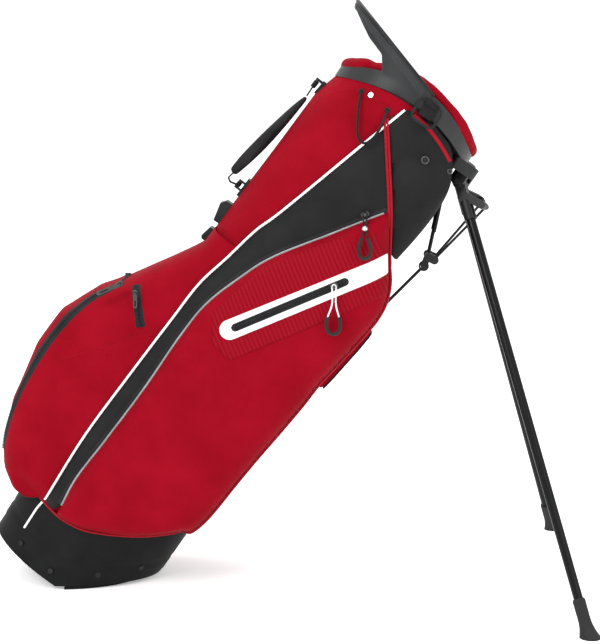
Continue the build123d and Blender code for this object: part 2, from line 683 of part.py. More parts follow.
def cheek(start, end, y_from, y_to, radius):
    """A rounded plate between two (c, t) points, from y = -y_from to y = -y_to."""
    run = Vector(end.X - start.X, end.Z - start.Z)
    with BuildPart() as plate:
        with BuildSketch(SIDE.offset(y_from)):
            with Locations(((start.X + end.X) / 2, (start.Z + end.Z) / 2)):
                SlotCenterToCenter(run.length, 2 * radius, rotation=math.degrees(math.atan2(run.Y, run.X)))
        extrude(amount=y_to - y_from)
    return plate.part


with BuildPart() as connector:
    for side in (-1, 1):
        low, high = sorted((side * 16, side * 23.4))
        add(cheek(JUNCTION, JUNCTION + SOCKET, low, high, 6.5))
        low, high = sorted((side * 3.6, side * 6))
        add(cheek(JUNCTION, JUNCTION + RING, low, high, 5))
    with BuildSketch(SIDE.offset(-20)):
        with Locations((JUNCTION.X, JUNCTION.Z)):
            Circle(3.5)
    extrude(amount=40)
    with BuildSketch(SIDE.offset(-6)):
        with Locations((JUNCTION.X + RING.X, JUNCTION.Z + RING.Z)):
            Circle(2)
    extrude(amount=12)
    add(strut_rods.part, mode=Mode.SUBTRACT)
keep("connector", connector.part)

with BuildPart() as link_rod:
    with BuildSketch(Plane(origin=K, z_dir=LINK_AXIS).offset(-2.4)):
        Circle(4.2)
    extrude(amount=4.8)
    with BuildSketch(Plane(origin=K + LINK0.normalized() * 3, z_dir=LINK0)):
        Circle(2)
    extrude(amount=LINK0.length - 3)
    with Locations(Plane(origin=S0, z_dir=LINK0)):
        Sphere(3)
    with BuildSketch(Plane(origin=K, z_dir=LINK_AXIS).offset(-4)):
        Circle(1.5 + RUNNING)
    extrude(amount=8, mode=Mode.SUBTRACT)
keep_pair("link_rod", link_rod.part)

with BuildPart() as actuator_rod:
    with BuildSketch(Plane(origin=QPIN, z_dir=(0, -1, 0)).offset(-4)):
        Circle(4.4)
    extrude(amount=8)
    with BuildSketch(Plane(origin=QPIN + ROD0.normalized() * 3.4, z_dir=ROD0)):
        Circle(2.5)
    extrude(amount=ROD0.length - 3.4 - 6.5)
    with BuildSketch(SIDE.offset(-2.6)):
        with Locations((JUNCTION.X + RING.X, JUNCTION.Z + RING.Z)):
            Circle(8)
            Circle(5.4, mode=Mode.SUBTRACT)
    extrude(amount=5.2)
    with BuildSketch(Plane(origin=QPIN, z_dir=(0, -1, 0)).offset(-6)):
        Circle(2 + RUNNING)
    extrude(amount=12, mode=Mode.SUBTRACT)
keep("actuator_rod", actuator_rod.part)

# ---------------------------------------------------------------- carry handle, straps and rings
def ribbon(points, thickness):
    """The (c, t) outline of a strip of even thickness along its points."""
    left, right = [], []
    for index, point in enumerate(points):
        before = Vector(*points[max(index - 1, 0)])
        after = Vector(*points[min(index + 1, len(points) - 1)])
        along = (after - before).normalized()
        normal = Vector(-along.Y, along.X) * (thickness / 2)
        left.append((point[0] + normal.X, point[1] + normal.Y))
        right.append((point[0] - normal.X, point[1] - normal.Y))
    return left + right[::-1]


# The carry handle turns sideways on two round posts, one over each end plate.
HANDLE_AXIS = (Vector(-117.2, 0, 857), Vector(-127.2, 0, 663))
POST = 2.0
AXIS_DOWN = (place(HANDLE_AXIS[1]) - place(HANDLE_AXIS[0])).normalized()


def along_axis(distance):
    """A plane across the handle's axis, this far down from its upper end."""
    return Plane(origin=place(HANDLE_AXIS[0]) + AXIS_DOWN * distance, x_dir=(0, 1, 0), z_dir=AXIS_DOWN)


LUG_SIDE = 1 if along_axis(0).y_dir.dot(BAG.x_dir) > 0 else -1
POST_SPANS = [(-10, 6), (185, 200)]              # each post, from the axis' upper end
LUG_SPANS = [(-10, -6), (185, 188), (197, 200)]
KNUCKLE_SPANS = [(-5.6, 6), (188.4, 196.6)]
with BuildPart() as handle_buckles:
    add(outline_block([(-111, 846), (-98, 846), (-98, 868), (-108.5, 868)], -14, 14))
    add(outline_block([(-120.5, 650), (-108, 650), (-108, 680), (-119, 680)], -14, 14))
    for start, end in LUG_SPANS:
        with BuildSketch(along_axis(start)):
            Circle(3.6)
            with Locations((0, LUG_SIDE * 6)):
                Rectangle(7.2, 12)
        extrude(amount=end - start)
    add(TUBE_OUTER, mode=Mode.SUBTRACT)
    for start, end in POST_SPANS:
        with BuildSketch(along_axis(start)):
            Circle(POST)
        extrude(amount=end - start)
keep("handle_buckles", handle_buckles.part)

HANDLE_PAD = [(-119, 836), (-128, 800), (-138, 757), (-149, 700), (-151, 676), (-138.5, 672),
              (-130, 706), (-124, 757), (-117.5, 800), (-113, 833)]
HANDLE_FACE = [(-8, 840), (-8, 832), (-17, 796), (-17, 704), (-11, 668),
               (11, 668), (17, 704), (17, 796), (8, 832), (8, 840)]     # (y, t)
ACROSS_C = Plane(origin=place((-200, 0, 0)), x_dir=(0, 1, 0), z_dir=BAG.x_dir)
with BuildPart() as handle_pad:
    add(outline_block(HANDLE_PAD, -17, 17, 3))
    with BuildSketch(ACROSS_C):
        with BuildLine():
            Polyline(*HANDLE_FACE, close=True)
        make_face()
    extrude(amount=160, mode=Mode.INTERSECT)
keep("handle_pad", handle_pad.part)

with BuildPart() as handle_webbing:
    add(outline_block(ribbon([(-117.6, 852.5), (-117.2, 834)], 2.4), -5, 5))
    add(outline_block(ribbon([(-144, 673.6), (-146, 664), (-140, 660), (-129, 662.5)], 2.4), -5, 5))
    for start, end in KNUCKLE_SPANS:
        with BuildSketch(along_axis(start)):
            Circle(4)
        extrude(amount=end - start)
    for start, end in POST_SPANS:
        with BuildSketch(along_axis(start)):
            Circle(POST + RUNNING)
        extrude(amount=end - start + 0.2, mode=Mode.SUBTRACT)
    add(handle_pad.part, mode=Mode.SUBTRACT)
keep("handle_webbing", handle_webbing.part)

with BuildPart() as strap_band:
    add(oval_solid(TUBE, inset=-2.4))
    add(outline_block([(-200, 566), (-40, 566), (-40, 588), (-200, 588)], -130, 130), mode=Mode.INTERSECT)
    add(TUBE_OUTER, mode=Mode.SUBTRACT)
    add(PIECES["side_panel_near"], mode=Mode.SUBTRACT)
    add(PIECES["side_panel_far"], mode=Mode.SUBTRACT)
keep("strap_band", strap_band.part.solids().sort_by(SortBy.VOLUME)[-1])

with BuildPart() as strap_fittings:
    add(outline_block([(-130, 568), (-126, 586), (-110, 586), (-110, 564), (-127, 564)], -15, 15))
    add(oval_solid(TUBE, inset=-2.4), mode=Mode.SUBTRACT)
    add(outline_block([(-134, 626), (-127, 634), (-110, 634), (-110, 598), (-128, 598)], -13, 13))
    add(TUBE_OUTER, mode=Mode.SUBTRACT)
keep("strap_fittings", strap_fittings.part)

RING_BAR = Vector(44, -109.5, 934)
with BuildPart() as ring_tab:
    add(outline_block([(33, 912), (55, 912), (55, 938), (33, 938)], 100, 107))
    add(straight_oval(CUFF, 860, 980), mode=Mode.SUBTRACT)
    add(outline_block([(33, 930), (55, 930), (55, 938), (33, 938)], 107, 112))
    with BuildSketch(Plane(origin=place(RING_BAR), z_dir=BAG.x_dir).offset(-20)):
        Circle(1.6 + RUNNING)
    extrude(amount=40, mode=Mode.SUBTRACT)
keep("ring_tab", ring_tab.part.solids().sort_by(SortBy.VOLUME)[-1])

with BuildPart() as d_ring:
    with BuildSketch(SIDE.offset(-RING_BAR.Y - 1.6)):
        with Locations((RING_BAR.X, RING_BAR.Z - 16)):
            RectangleRounded(42, 35.2, 12)
            RectangleRounded(34, 27.2, 5.5, mode=Mode.SUBTRACT)
        with Locations((RING_BAR.X, RING_BAR.Z)):
            Rectangle(31, 5.4, mode=Mode.SUBTRACT)
    extrude(amount=3.2)
    with BuildSketch(Plane(origin=place(RING_BAR), z_dir=BAG.x_dir).offset(-16.5)):
        Circle(1.6)
    extrude(amount=33)
keep("d_ring", d_ring.part)

# The hip pad stands on two walls over the actuator rod's channel.
HIP_PAD = [(164, 600), (171, 596), (157, 478), (150, 477)]
HIP_WALL = [(95, 590), (164.5, 597), (151, 482), (95, 490)]
with BuildPart() as hip_pad:
    add(outline_block(HIP_PAD, -22, 22, 1.5))
    for side in (-1, 1):
        add(outline_block(HIP_WALL, *sorted((side * 9, side * 18))))
    add(TUBE_OUTER, mode=Mode.SUBTRACT)
keep("hip_pad", hip_pad.part)

SNAPS = [(-90, 874), (-38, 894), (81, 852)]
with BuildPart() as cuff_snaps:
    for c, t in SNAPS:
        middle, half, width = 9.5, 106.5, 97.0
        y = -width * math.sqrt(1 - ((c - middle) / half) ** 2)
        normal = Vector((c - middle) / half ** 2, y / width ** 2, 0).normalized()
        for side in (1, -1):
            outwards = BAG.x_dir * normal.X + Vector(0, side * normal.Y, 0)
            with BuildSketch(Plane(origin=place((c, side * y, t)), z_dir=outwards).offset(-2)):
                Circle(4)
            extrude(amount=4)
    add(TUBE_OUTER, mode=Mode.SUBTRACT)
    add(PIECES["leg_panel_near"], mode=Mode.SUBTRACT)
    add(PIECES["leg_panel_far"], mode=Mode.SUBTRACT)
keep("cuff_snaps", cuff_snaps.part)


# ---------------------------------------------------------------- zippers
def cord_tube(points, diameter):
    """Straight runs joined by arcs, each arc as large as its two runs allow."""
    runs = [after - before for before, after in zip(points, points[1:])]
    radii = []
    for before, after in zip(runs, runs[1:]):
        half_turn = math.radians(before.get_angle(after)) / 2
        radii.append(0.45 * min(before.length, after.length) / math.tan(half_turn))
    print("arc radii", [round(r, 1) for r in radii])
    with BuildPart() as tube:
        with BuildLine() as route:
            FilletPolyline(*points, radius=radii)
        with BuildSketch(Plane(origin=points[0], z_dir=runs[0])):
            Circle(diameter / 2)
        sweep(path=route.wires()[0])
    print("length", round(route.wires()[0].length, 1),
          "volume over section", round(tube.part.volume / (math.pi * diameter ** 2 / 4), 1))
    return tube.part


ZIPS = {
    "welt": [(-12, 497), (104, 680)],
    "pocket": [(58, 752), (20, 699), (-29, 623), (-57, 566), (-78, 500), (-78, 330), (-84, 130)],
    "ball": [(-186, 452), (-203, 418), (-214, 385), (-222, 340), (-221, 290), (-212, 240), (-201, 196),
             (-187, 140)],
    "accessory": [(-166, 455), (-128, 414)],
}
ZIP_WIDTH = {"welt": 28, "pocket": 9, "ball": 9, "accessory": 12}
ZIP_FACE = {"welt": 140, "pocket": 106, "ball": 90, "accessory": 90}
for name, members in (("welt_panel", ["welt"]), ("zip_tapes", ["pocket", "ball", "accessory"])):
    with BuildPart() as zip_tape:
        for member in members:
            face = ZIP_FACE[member]
            add(outline_block(ribbon(ZIPS[member], ZIP_WIDTH[member]), face, face + 1.6))
    keep(name, zip_tape.part)

# Each slider starts near one end of its zipper and runs along its straight stretch.
SLIDER_START = {"welt": 0.745, "pocket": 0.06, "ball": 0.06, "accessory": 0.10}
SLIDER_TRAVEL = {"welt": -150.0, "pocket": 50.0, "ball": 28.0, "accessory": 38.0}


def slider_place(name):
    """Where the slider's stud stands, as (c, t), and the zipper's direction there."""
    start, end = (Vector(*point) for point in ZIPS[name][:2])
    along = (end - start).normalized()
    return start + along * (SLIDER_START[name] * (end - start).length + 3), along


STUD = 7.5                       # height of a slider's stud over its zipper
# Tab length and direction: one hangs plumb, the other lies along the pocket's sloping back.
TABS = {"ball": (34, (-0.92, 0, -0.39)), "accessory": (18, (0, 0, -1))}
for name in ZIPS:
    spot, along = slider_place(name)
    base = ZIP_FACE[name] + 1.6
    with BuildPart() as slider:
        with BuildSketch(SIDE.offset(base)):
            with Locations((spot.X, spot.Y)):
                RectangleRounded(13, 8, 3, rotation=math.degrees(math.atan2(along.Y, along.X)))
        extrude(amount=3.4, taper=8)
        with BuildSketch(SIDE.offset(base + 3.4)):
            with Locations((spot.X, spot.Y)):
                Circle(1.2)
        extrude(amount=STUD - 3.4)
        with BuildSketch(SIDE.offset(base + STUD)):
            with Locations((spot.X, spot.Y)):
                Circle(2.2)
        extrude(amount=1.2)
        if name in TABS:                             # a tab swings on the slider's stud
            stud = place((spot.X, -(base + 3.8), spot.Y))
            length, direction = TABS[name]
            with BuildSketch(Plane(origin=stud, x_dir=direction, z_dir=(0, -1, 0))):
                with Locations((length / 2, 0)):
                    SlotCenterToCenter(length, 6)
                Circle(1.2 + RUNNING, mode=Mode.SUBTRACT)
                with Locations((length * 0.75, 0)):
                    SlotCenterToCenter(length * 0.4, 2.4, mode=Mode.SUBTRACT)
            extrude(amount=1.6)
    keep(f"slider_{name}", slider.part)

# The two cord pulls hang plumb from their studs and lie over the pockets' faces. Each point is
# (across, up, out) from the stud.
CORD, GRIP = 2.4, 5.4
PULL_ROUTE = {
    "welt": [(-9.5, -45, 0), (-5, -34, 0), (-2.2, -24, 0), (-2.8, -6, 0), (-2.6, 3, 0), (2.6, 3, 0),
             (2.9, -6, 0), (2.2, -24, 0), (4.2, -34, 0), (7.5, -45, 0)],
    "pocket": [(-4.4, -32, 31), (-2.4, -25, 20.5), (-1.9, -15, 9.6), (-2.8, -4, 1.4), (-2.6, 3, 0),
               (2.6, 3, 0), (2.9, -4, 1.4), (2.1, -15, 9.6), (2.5, -25, 20.5), (4.6, -32, 31)],
}
GRIP_ROUTE = {
    "welt": [(-9.5, -45, 0), (-12.5, -57, 0), (-8, -70, 0), (5, -71, 0), (10.5, -58, 0), (7.5, -45, 0)],
    "pocket": [(-4.4, -32, 31), (-10, -47, 32.6), (-7, -62, 32.6), (7, -62, 32.6),
               (10, -47, 32.6), (4.6, -32, 31)],
}


def pull_stud(name):
    spot, _ = slider_place(name)
    return place((spot.X, -(ZIP_FACE[name] + 1.6 + STUD - 1.9), spot.Y))


for name in PULL_ROUTE:
    for piece, routes, diameter in (("grip", GRIP_ROUTE, GRIP), ("cord", PULL_ROUTE, CORD)):
        points = [pull_stud(name) + Vector(x, -out, up) for x, up, out in routes[name]]
        tube = cord_tube(points, diameter)
        if piece == "cord":
            tube = tube - PIECES[f"pull_grip_{name}"]
        keep(f"pull_{piece}_{name}", tube)

with BuildPart() as pull_bead:
    with Locations(pull_stud("pocket") + Vector(0.1, -14.8, -20)):
        Sphere(5)
    add(PIECES["pull_cord_pocket"], mode=Mode.SUBTRACT)
keep("pull_bead", pull_bead.part)

# The elastic loop on the near side, between two eyelets under the cuff.
LOOP = [(-53, -85, 890), (-46, -97, 874), (-32, -104, 850), (-19, -108, 832), (-6, -111, 829),
        (1, -111, 846), (0, -106, 868), (-6, -100, 890)]
with BuildPart() as loop_eyelets:
    for c, y, t in (LOOP[0], LOOP[-1]):
        with BuildSketch(SIDE.offset(60)):
            with Locations((c, t)):
                Circle(4.5)
        extrude(amount=-y - 62.2)
    add(TUBE_OUTER, mode=Mode.SUBTRACT)
keep("loop_eyelets", loop_eyelets.part)
keep("elastic_loop", cord_tube([place(point) for point in LOOP], 3.6))

for name, piece in PIECES.items():
    piece.label = name
    export_step(piece, f"parts/{name}.step")
print(len(PIECES), "pieces; link lengths", round(LINK0.length, 2), round(LINK1.length, 2),
      "actuator lengths", round(ROD0.length, 2), round(ROD1.length, 2),
      "fold", round(FOLD, 2), "link turn", round(LINK_TURN, 2), "rod turn", round(ROD_TURN, 2),
      "link axis to hinge", round(LINK_AXIS.get_angle(A), 1))
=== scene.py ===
import bmesh
import bpy
import math
import numpy as np
from mathutils import Euler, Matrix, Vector, noise
from mathutils.geometry import delaunay_2d_cdt


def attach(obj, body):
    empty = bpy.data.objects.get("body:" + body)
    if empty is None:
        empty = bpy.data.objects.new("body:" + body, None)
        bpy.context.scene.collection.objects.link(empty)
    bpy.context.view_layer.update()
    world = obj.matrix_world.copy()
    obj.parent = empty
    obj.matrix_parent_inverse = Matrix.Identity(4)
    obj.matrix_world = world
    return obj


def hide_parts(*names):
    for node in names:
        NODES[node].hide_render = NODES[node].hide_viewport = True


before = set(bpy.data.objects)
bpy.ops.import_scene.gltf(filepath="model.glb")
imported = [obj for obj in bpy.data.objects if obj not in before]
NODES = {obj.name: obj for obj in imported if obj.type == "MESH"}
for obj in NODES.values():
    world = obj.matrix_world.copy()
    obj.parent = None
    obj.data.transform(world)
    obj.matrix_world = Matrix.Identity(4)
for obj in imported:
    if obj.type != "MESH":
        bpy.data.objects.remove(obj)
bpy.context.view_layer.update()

# Bag points are (c, y, t) in millimetres: t up the bag's own axis, c across it towards the stand.
MM = 0.001
LEAN = math.radians(34.5)
SIN, COS = math.sin(LEAN), math.cos(LEAN)
HEEL_X = -60.0
TUBE = np.array([(0, -129, 46, 85), (100, -126, 57, 90), (200, -123, 75, 95), (400, -118, 104, 97),
                 (600, -118, 110, 98), (850, -107, 116, 98), (885, -97, 116, 97), (960, -97, 116, 97)], float)
BOOT = np.array([(-20, -138, 115, 100), (0, -138, 116, 100), (190, -142, 116, 108)], float)


def bag(c, y, t):
    return Vector(((HEEL_X + COS * c + SIN * t) * MM, y * MM, (COS * t - SIN * c) * MM))


def oval_at(sections, t):
    """Middle, reach and half width of a lofted oval at height t."""
    low, high, half = (np.interp(t, sections[:, 0], sections[:, i]) for i in (1, 2, 3))
    return (low + high) / 2, (high - low) / 2, half


def oval_y(sections, c, t):
    """Half width of a lofted oval at (c, t)."""
    middle, reach, half = oval_at(sections, t)
    return half * np.sqrt(np.clip(1 - ((c - middle) / reach) ** 2, 0, 1))


def tube_y(c, t):
    return oval_y(TUBE, c, t)


def saddle_t(y, low=885.0, rise=34.0):
    return low + rise * (y / 104.0) ** 2


# ---------------------------------------------------------------- lines and distances
def smooth(points, step=6.0):
    """A Catmull-Rom line through the points, evenly sampled."""
    p = np.array(points, float)
    p = np.vstack([2 * p[0] - p[1], p, 2 * p[-1] - p[-2]])
    fine = []
    for i in range(1, len(p) - 2):
        for u in np.linspace(0, 1, 16, endpoint=False):
            fine.append(0.5 * (2 * p[i] + (p[i + 1] - p[i - 1]) * u
                               + (2 * p[i - 1] - 5 * p[i] + 4 * p[i + 1] - p[i + 2]) * u * u
                               + (3 * p[i] - p[i - 1] - 3 * p[i + 1] + p[i + 2]) * u ** 3))
    return even(np.array(fine + [p[-2]]), step)


def even(points, step):
    p = np.array(points, float)
    along = np.concatenate([[0], np.cumsum(np.linalg.norm(np.diff(p, axis=0), axis=1))])
    count = max(2, int(round(along[-1] / step)) + 1)
    at = np.linspace(0, along[-1], count)
    return np.stack([np.interp(at, along, p[:, i]) for i in range(p.shape[1])], 1)


def distance(c, t, line):
    """Distance of points to an open line."""
    line = np.array(line, float)
    q = np.stack([c, t], 1)
    best = np.full(len(q), 1e9)
    for a, b in zip(line[:-1], line[1:]):
        ab = b - a
        u = np.clip(((q - a) @ ab) / max(ab @ ab, 1e-9), 0, 1)
        best = np.minimum(best, np.linalg.norm(q - (a + u[:, None] * ab), axis=1))
    return best


def inside(c, t, outline):
    result = np.zeros(len(c), bool)
    o = np.array(outline, float)
    for (x0, y0), (x1, y1) in zip(o, np.roll(o, -1, axis=0)):
        cross = (y0 > t) != (y1 > t)
        with np.errstate(divide="ignore", invalid="ignore"):
            result ^= cross & (c < (x1 - x0) * (t - y0) / (y1 - y0) + x0)
    return result


def offset_line(line, by):
    """The line moved sideways, to its left when by is positive."""
    d = np.gradient(line, axis=0)
    d /= np.linalg.norm(d, axis=1)[:, None]
    return line + by * np.stack([-d[:, 1], d[:, 0]], 1)


def over_surface(line, height, by):
    """The line moved sideways by a distance measured over the surface, which it never leaves."""
    steps, probe = 24, 0.4
    for _ in range(steps):
        ahead = offset_line(line, math.copysign(probe, by))
        slope = (height(ahead[:, 0], ahead[:, 1]) - height(line[:, 0], line[:, 1])) / probe
        share = abs(by) / steps / np.sqrt(1 + slope * slope)
        line = line + (ahead - line) / probe * share[:, None]
    return line


def waviness(c, t, size, seed):
    return np.array([noise.noise(Vector((a / size, b / size, seed))) for a, b in zip(c, t)])


# ---------------------------------------------------------------- materials
def nodes_of(name):
    material = bpy.data.materials.new(name)
    material.use_nodes = True
    tree = material.node_tree
    shader = tree.nodes["Principled BSDF"]
    return material, tree, shader


def add_node(tree, kind, **values):
    node = tree.nodes.new(kind)
    for key, value in values.items():
        setattr(node, key, value)
    return node


def set_inputs(node, values):
    for key, value in values.items():
        node.inputs[key].default_value = value


def bag_coordinates(tree):
    """Object coordinates, turned so that X runs across the bag and Z along it."""
    place = add_node(tree, "ShaderNodeTexCoord")
    turn = add_node(tree, "ShaderNodeMapping")
    turn.inputs["Rotation"].default_value = (0, -LEAN, 0)
    tree.links.new(place.outputs["Object"], turn.inputs["Vector"])
    return turn.outputs["Vector"]


def noise_node(tree, vector, scale, detail):
    cloud = add_node(tree, "ShaderNodeTexNoise")
    set_inputs(cloud, {"Scale": scale, "Detail": detail})
    tree.links.new(vector, cloud.inputs["Vector"])
    return cloud


def wave_node(tree, vector, direction, pitch, distortion):
    """Bands across one direction, pitch in millimetres apart."""
    wave = add_node(tree, "ShaderNodeTexWave", bands_direction=direction)
    set_inputs(wave, {"Scale": 1 / (pitch * MM * math.pi) / 2, "Distortion": distortion})
    tree.links.new(vector, wave.inputs["Vector"])
    return wave


def bump_node(tree, height, strength, distance):
    bump = add_node(tree, "ShaderNodeBump")
    set_inputs(bump, {"Strength": strength, "Distance": distance})
    tree.links.new(height, bump.inputs["Height"])
    return bump


def colour_from(tree, shader, source, low, high, start, end):
    ramp = add_node(tree, "ShaderNodeValToRGB")
    for element, position, colour in zip(ramp.color_ramp.elements, (start, end), (low, high)):
        element.position, element.color = position, (*colour, 1)
    tree.links.new(source.outputs["Fac"], ramp.inputs["Fac"])
    tree.links.new(ramp.outputs["Color"], shader.inputs["Base Color"])


def patchy_gloss(tree, shader, source, low, high):
    patchy = add_node(tree, "ShaderNodeMapRange")
    set_inputs(patchy, {"To Min": low, "To Max": high})
    tree.links.new(source.outputs["Fac"], patchy.inputs["Value"])
    tree.links.new(patchy.outputs["Result"], shader.inputs["Roughness"])


def fabric(name, low, high, thread=0.9, depth=0.25, rough=0.66, sheen=0.03, ribs=None, specular=0.1):
    """Plain-woven coated cloth; thread is the weave's pitch in millimetres."""
    material, tree, shader = nodes_of(name)
    vector = bag_coordinates(tree)
    weave = add_node(tree, "ShaderNodeMath", operation="MULTIPLY")
    for socket, direction in zip(weave.inputs, ("X", "Z")):
        threads = wave_node(tree, vector, direction, thread, 0.6)
        threads.inputs["Detail"].default_value = 1
        tree.links.new(threads.outputs["Fac"], socket)
    crease = noise_node(tree, vector, 55, 8)
    creases = bump_node(tree, crease.outputs["Fac"], 0.16, 0.002)
    bump = bump_node(tree, weave.outputs[0], depth, 0.0004)
    tree.links.new(creases.outputs["Normal"], bump.inputs["Normal"])
    tree.links.new(bump.outputs["Normal"], shader.inputs["Normal"])
    patchy_gloss(tree, shader, crease, rough - 0.07, rough + 0.1)
    set_inputs(shader, {"Sheen Weight": sheen, "Sheen Roughness": 0.45, "Specular IOR Level": specular})
    if ribs:
        pitch, angle, dark, bright = ribs
        turn = add_node(tree, "ShaderNodeMapping")
        turn.inputs["Rotation"].default_value = (0, angle, 0)
        tree.links.new(vector, turn.inputs["Vector"])
        lines = wave_node(tree, turn.outputs["Vector"], "X", pitch, 0.3)
        colour_from(tree, shader, lines, dark, bright, 0.35, 0.65)
    else:
        colour_from(tree, shader, noise_node(tree, vector, 18, 6), low, high, 0.3, 0.7)
    return material


def moulded(name, low, high, rough=0.5, grain=0.12, grain_size=900, specular=0.2, metal=0.0, coat=0.0):
    """Moulded plastic, rubber or finished metal, with a fine grain and cloudy gloss."""
    material, tree, shader = nodes_of(name)
    vector = bag_coordinates(tree)
    colour_from(tree, shader, noise_node(tree, vector, 30, 6), low, high, 0.3, 0.7)
    fine = noise_node(tree, vector, grain_size, 4)
    bump = bump_node(tree, fine.outputs["Fac"], grain, 0.0005)
    tree.links.new(bump.outputs["Normal"], shader.inputs["Normal"])
    patchy_gloss(tree, shader, noise_node(tree, vector, 24, 2), max(rough - 0.1, 0.05), min(rough + 0.1, 1.0))
    set_inputs(shader, {"Metallic": metal, "Specular IOR Level": specular, "Coat Weight": coat})
    return material


RED_LOW, RED_HIGH = (0.196, 0.0010, 0.0064), (0.244, 0.0018, 0.0098)
M = {
    "red": fabric("red_nylon", RED_LOW, RED_HIGH, sheen=0.01, specular=0.03),
    "red_patch": fabric("red_tonal_stripe", RED_LOW, RED_HIGH, sheen=0.01, specular=0.03,
                        ribs=(3.2, math.radians(57.5), (0.195, 0.0016, 0.0068), (0.228, 0.0042, 0.0125))),
    "red_trim": fabric("red_binding", (0.25, 0.003, 0.01), (0.32, 0.005, 0.016), thread=1.4, depth=0.5),
    "black": fabric("black_nylon", (0.0088, 0.0088, 0.0092), (0.0142, 0.0142, 0.0147), sheen=0.01),
    "lining": fabric("divider_cloth", (0.012, 0.012, 0.013), (0.022, 0.022, 0.024), thread=1.6, depth=0.5),
    "webbing": fabric("black_webbing", (0.007, 0.007, 0.0075), (0.015, 0.015, 0.016), thread=2.0, depth=0.9),
    "mesh": fabric("spacer_mesh", (0.007, 0.007, 0.0075), (0.02, 0.02, 0.021), thread=2.6, depth=1.0),
    "white": fabric("white_coated", (0.75, 0.75, 0.75), (0.86, 0.86, 0.86), depth=0.12, sheen=0.05),
    "tape": fabric("zipper_tape", (0.01, 0.01, 0.011), (0.022, 0.022, 0.024), thread=1.2, depth=0.8),
    "reflective": moulded("reflective_coil", (0.20, 0.21, 0.215), (0.30, 0.31, 0.32), 0.35, 0.3, 700, 0.6,
                          metal=0.3),
    "thread_red": fabric("red_thread", (0.26, 0.003, 0.01), (0.34, 0.005, 0.016), thread=0.6, depth=0.6),
    "boot": moulded("boot_moulding", (0.0042, 0.0044, 0.0047), (0.0075, 0.0077, 0.008), 0.55, 0.25, 1300,
                    specular=0.1),
    "cuff": moulded("cuff_moulding", (0.009, 0.0094, 0.01), (0.014, 0.0145, 0.0155), 0.4, 0.15, 1100, 0.32),
    "grip_inlay": moulded("handle_rubber", (0.022, 0.023, 0.024), (0.036, 0.037, 0.039), 0.75, 0.9, 1500),
    "plastic": moulded("black_moulding", (0.007, 0.007, 0.008), (0.014, 0.014, 0.015), 0.38, 0.1, 1000),
    "rubber": moulded("stand_rubber", (0.008, 0.008, 0.008), (0.016, 0.016, 0.016), 0.72, 0.5, 1200, 0.3),
    "tube_paint": moulded("leg_anodised", (0.0028, 0.003, 0.0034), (0.0045, 0.0047, 0.0052), 0.26, 0.05, 600,
                          specular=0.14, coat=0.03),
    "wire": moulded("coated_wire", (0.006, 0.006, 0.006), (0.012, 0.012, 0.012), 0.4, 0.1, 800),
    "steel_dark": moulded("dark_steel", (0.05, 0.05, 0.052), (0.09, 0.09, 0.092), 0.4, 0.2, 900, 0.5, 0.9),
    "steel": moulded("bright_steel", (0.55, 0.55, 0.56), (0.72, 0.72, 0.73), 0.25, 0.1, 700, 0.5, 1.0),
    "fibre": moulded("stay_glass_fibre", (0.55, 0.54, 0.5), (0.68, 0.67, 0.62), 0.5, 0.2, 500),
    "white_cord": fabric("white_braid", (0.7, 0.7, 0.7), (0.84, 0.84, 0.84), thread=1.0, depth=0.9),
    "black_cord": fabric("black_braid", (0.008, 0.008, 0.009), (0.025, 0.025, 0.026), thread=1.0, depth=0.9),
}


# ---------------------------------------------------------------- building pieces
def finish_mesh(name, vertices, faces, material, body="bag", shade=True):
    data = bpy.data.meshes.new(name)
    data.from_pydata([tuple(v) for v in vertices], [], [tuple(f) for f in faces])
    data.validate()
    data.update()
    if shade:
        data.shade_smooth()
    data.materials.append(M[material])
    obj = bpy.data.objects.new(name, data)
    bpy.context.scene.collection.objects.link(obj)
    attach(obj, body)
    return obj


def ring_faces(rings, count, closed=True):
    """Quads between rings of count points each; closed rings join up on themselves."""
    faces = []
    for i in range(rings - 1):
        for k in range(count if closed else count - 1):
            j = (k + 1) % count
            faces.append((i * count + k, i * count + j, (i + 1) * count + j, (i + 1) * count + k))
    return faces


def end_caps(rings, count):
    return [tuple(range(count))[::-1], tuple(range((rings - 1) * count, rings * count))]


def signed_power(value, power):
    return math.copysign(abs(value) ** power, value)


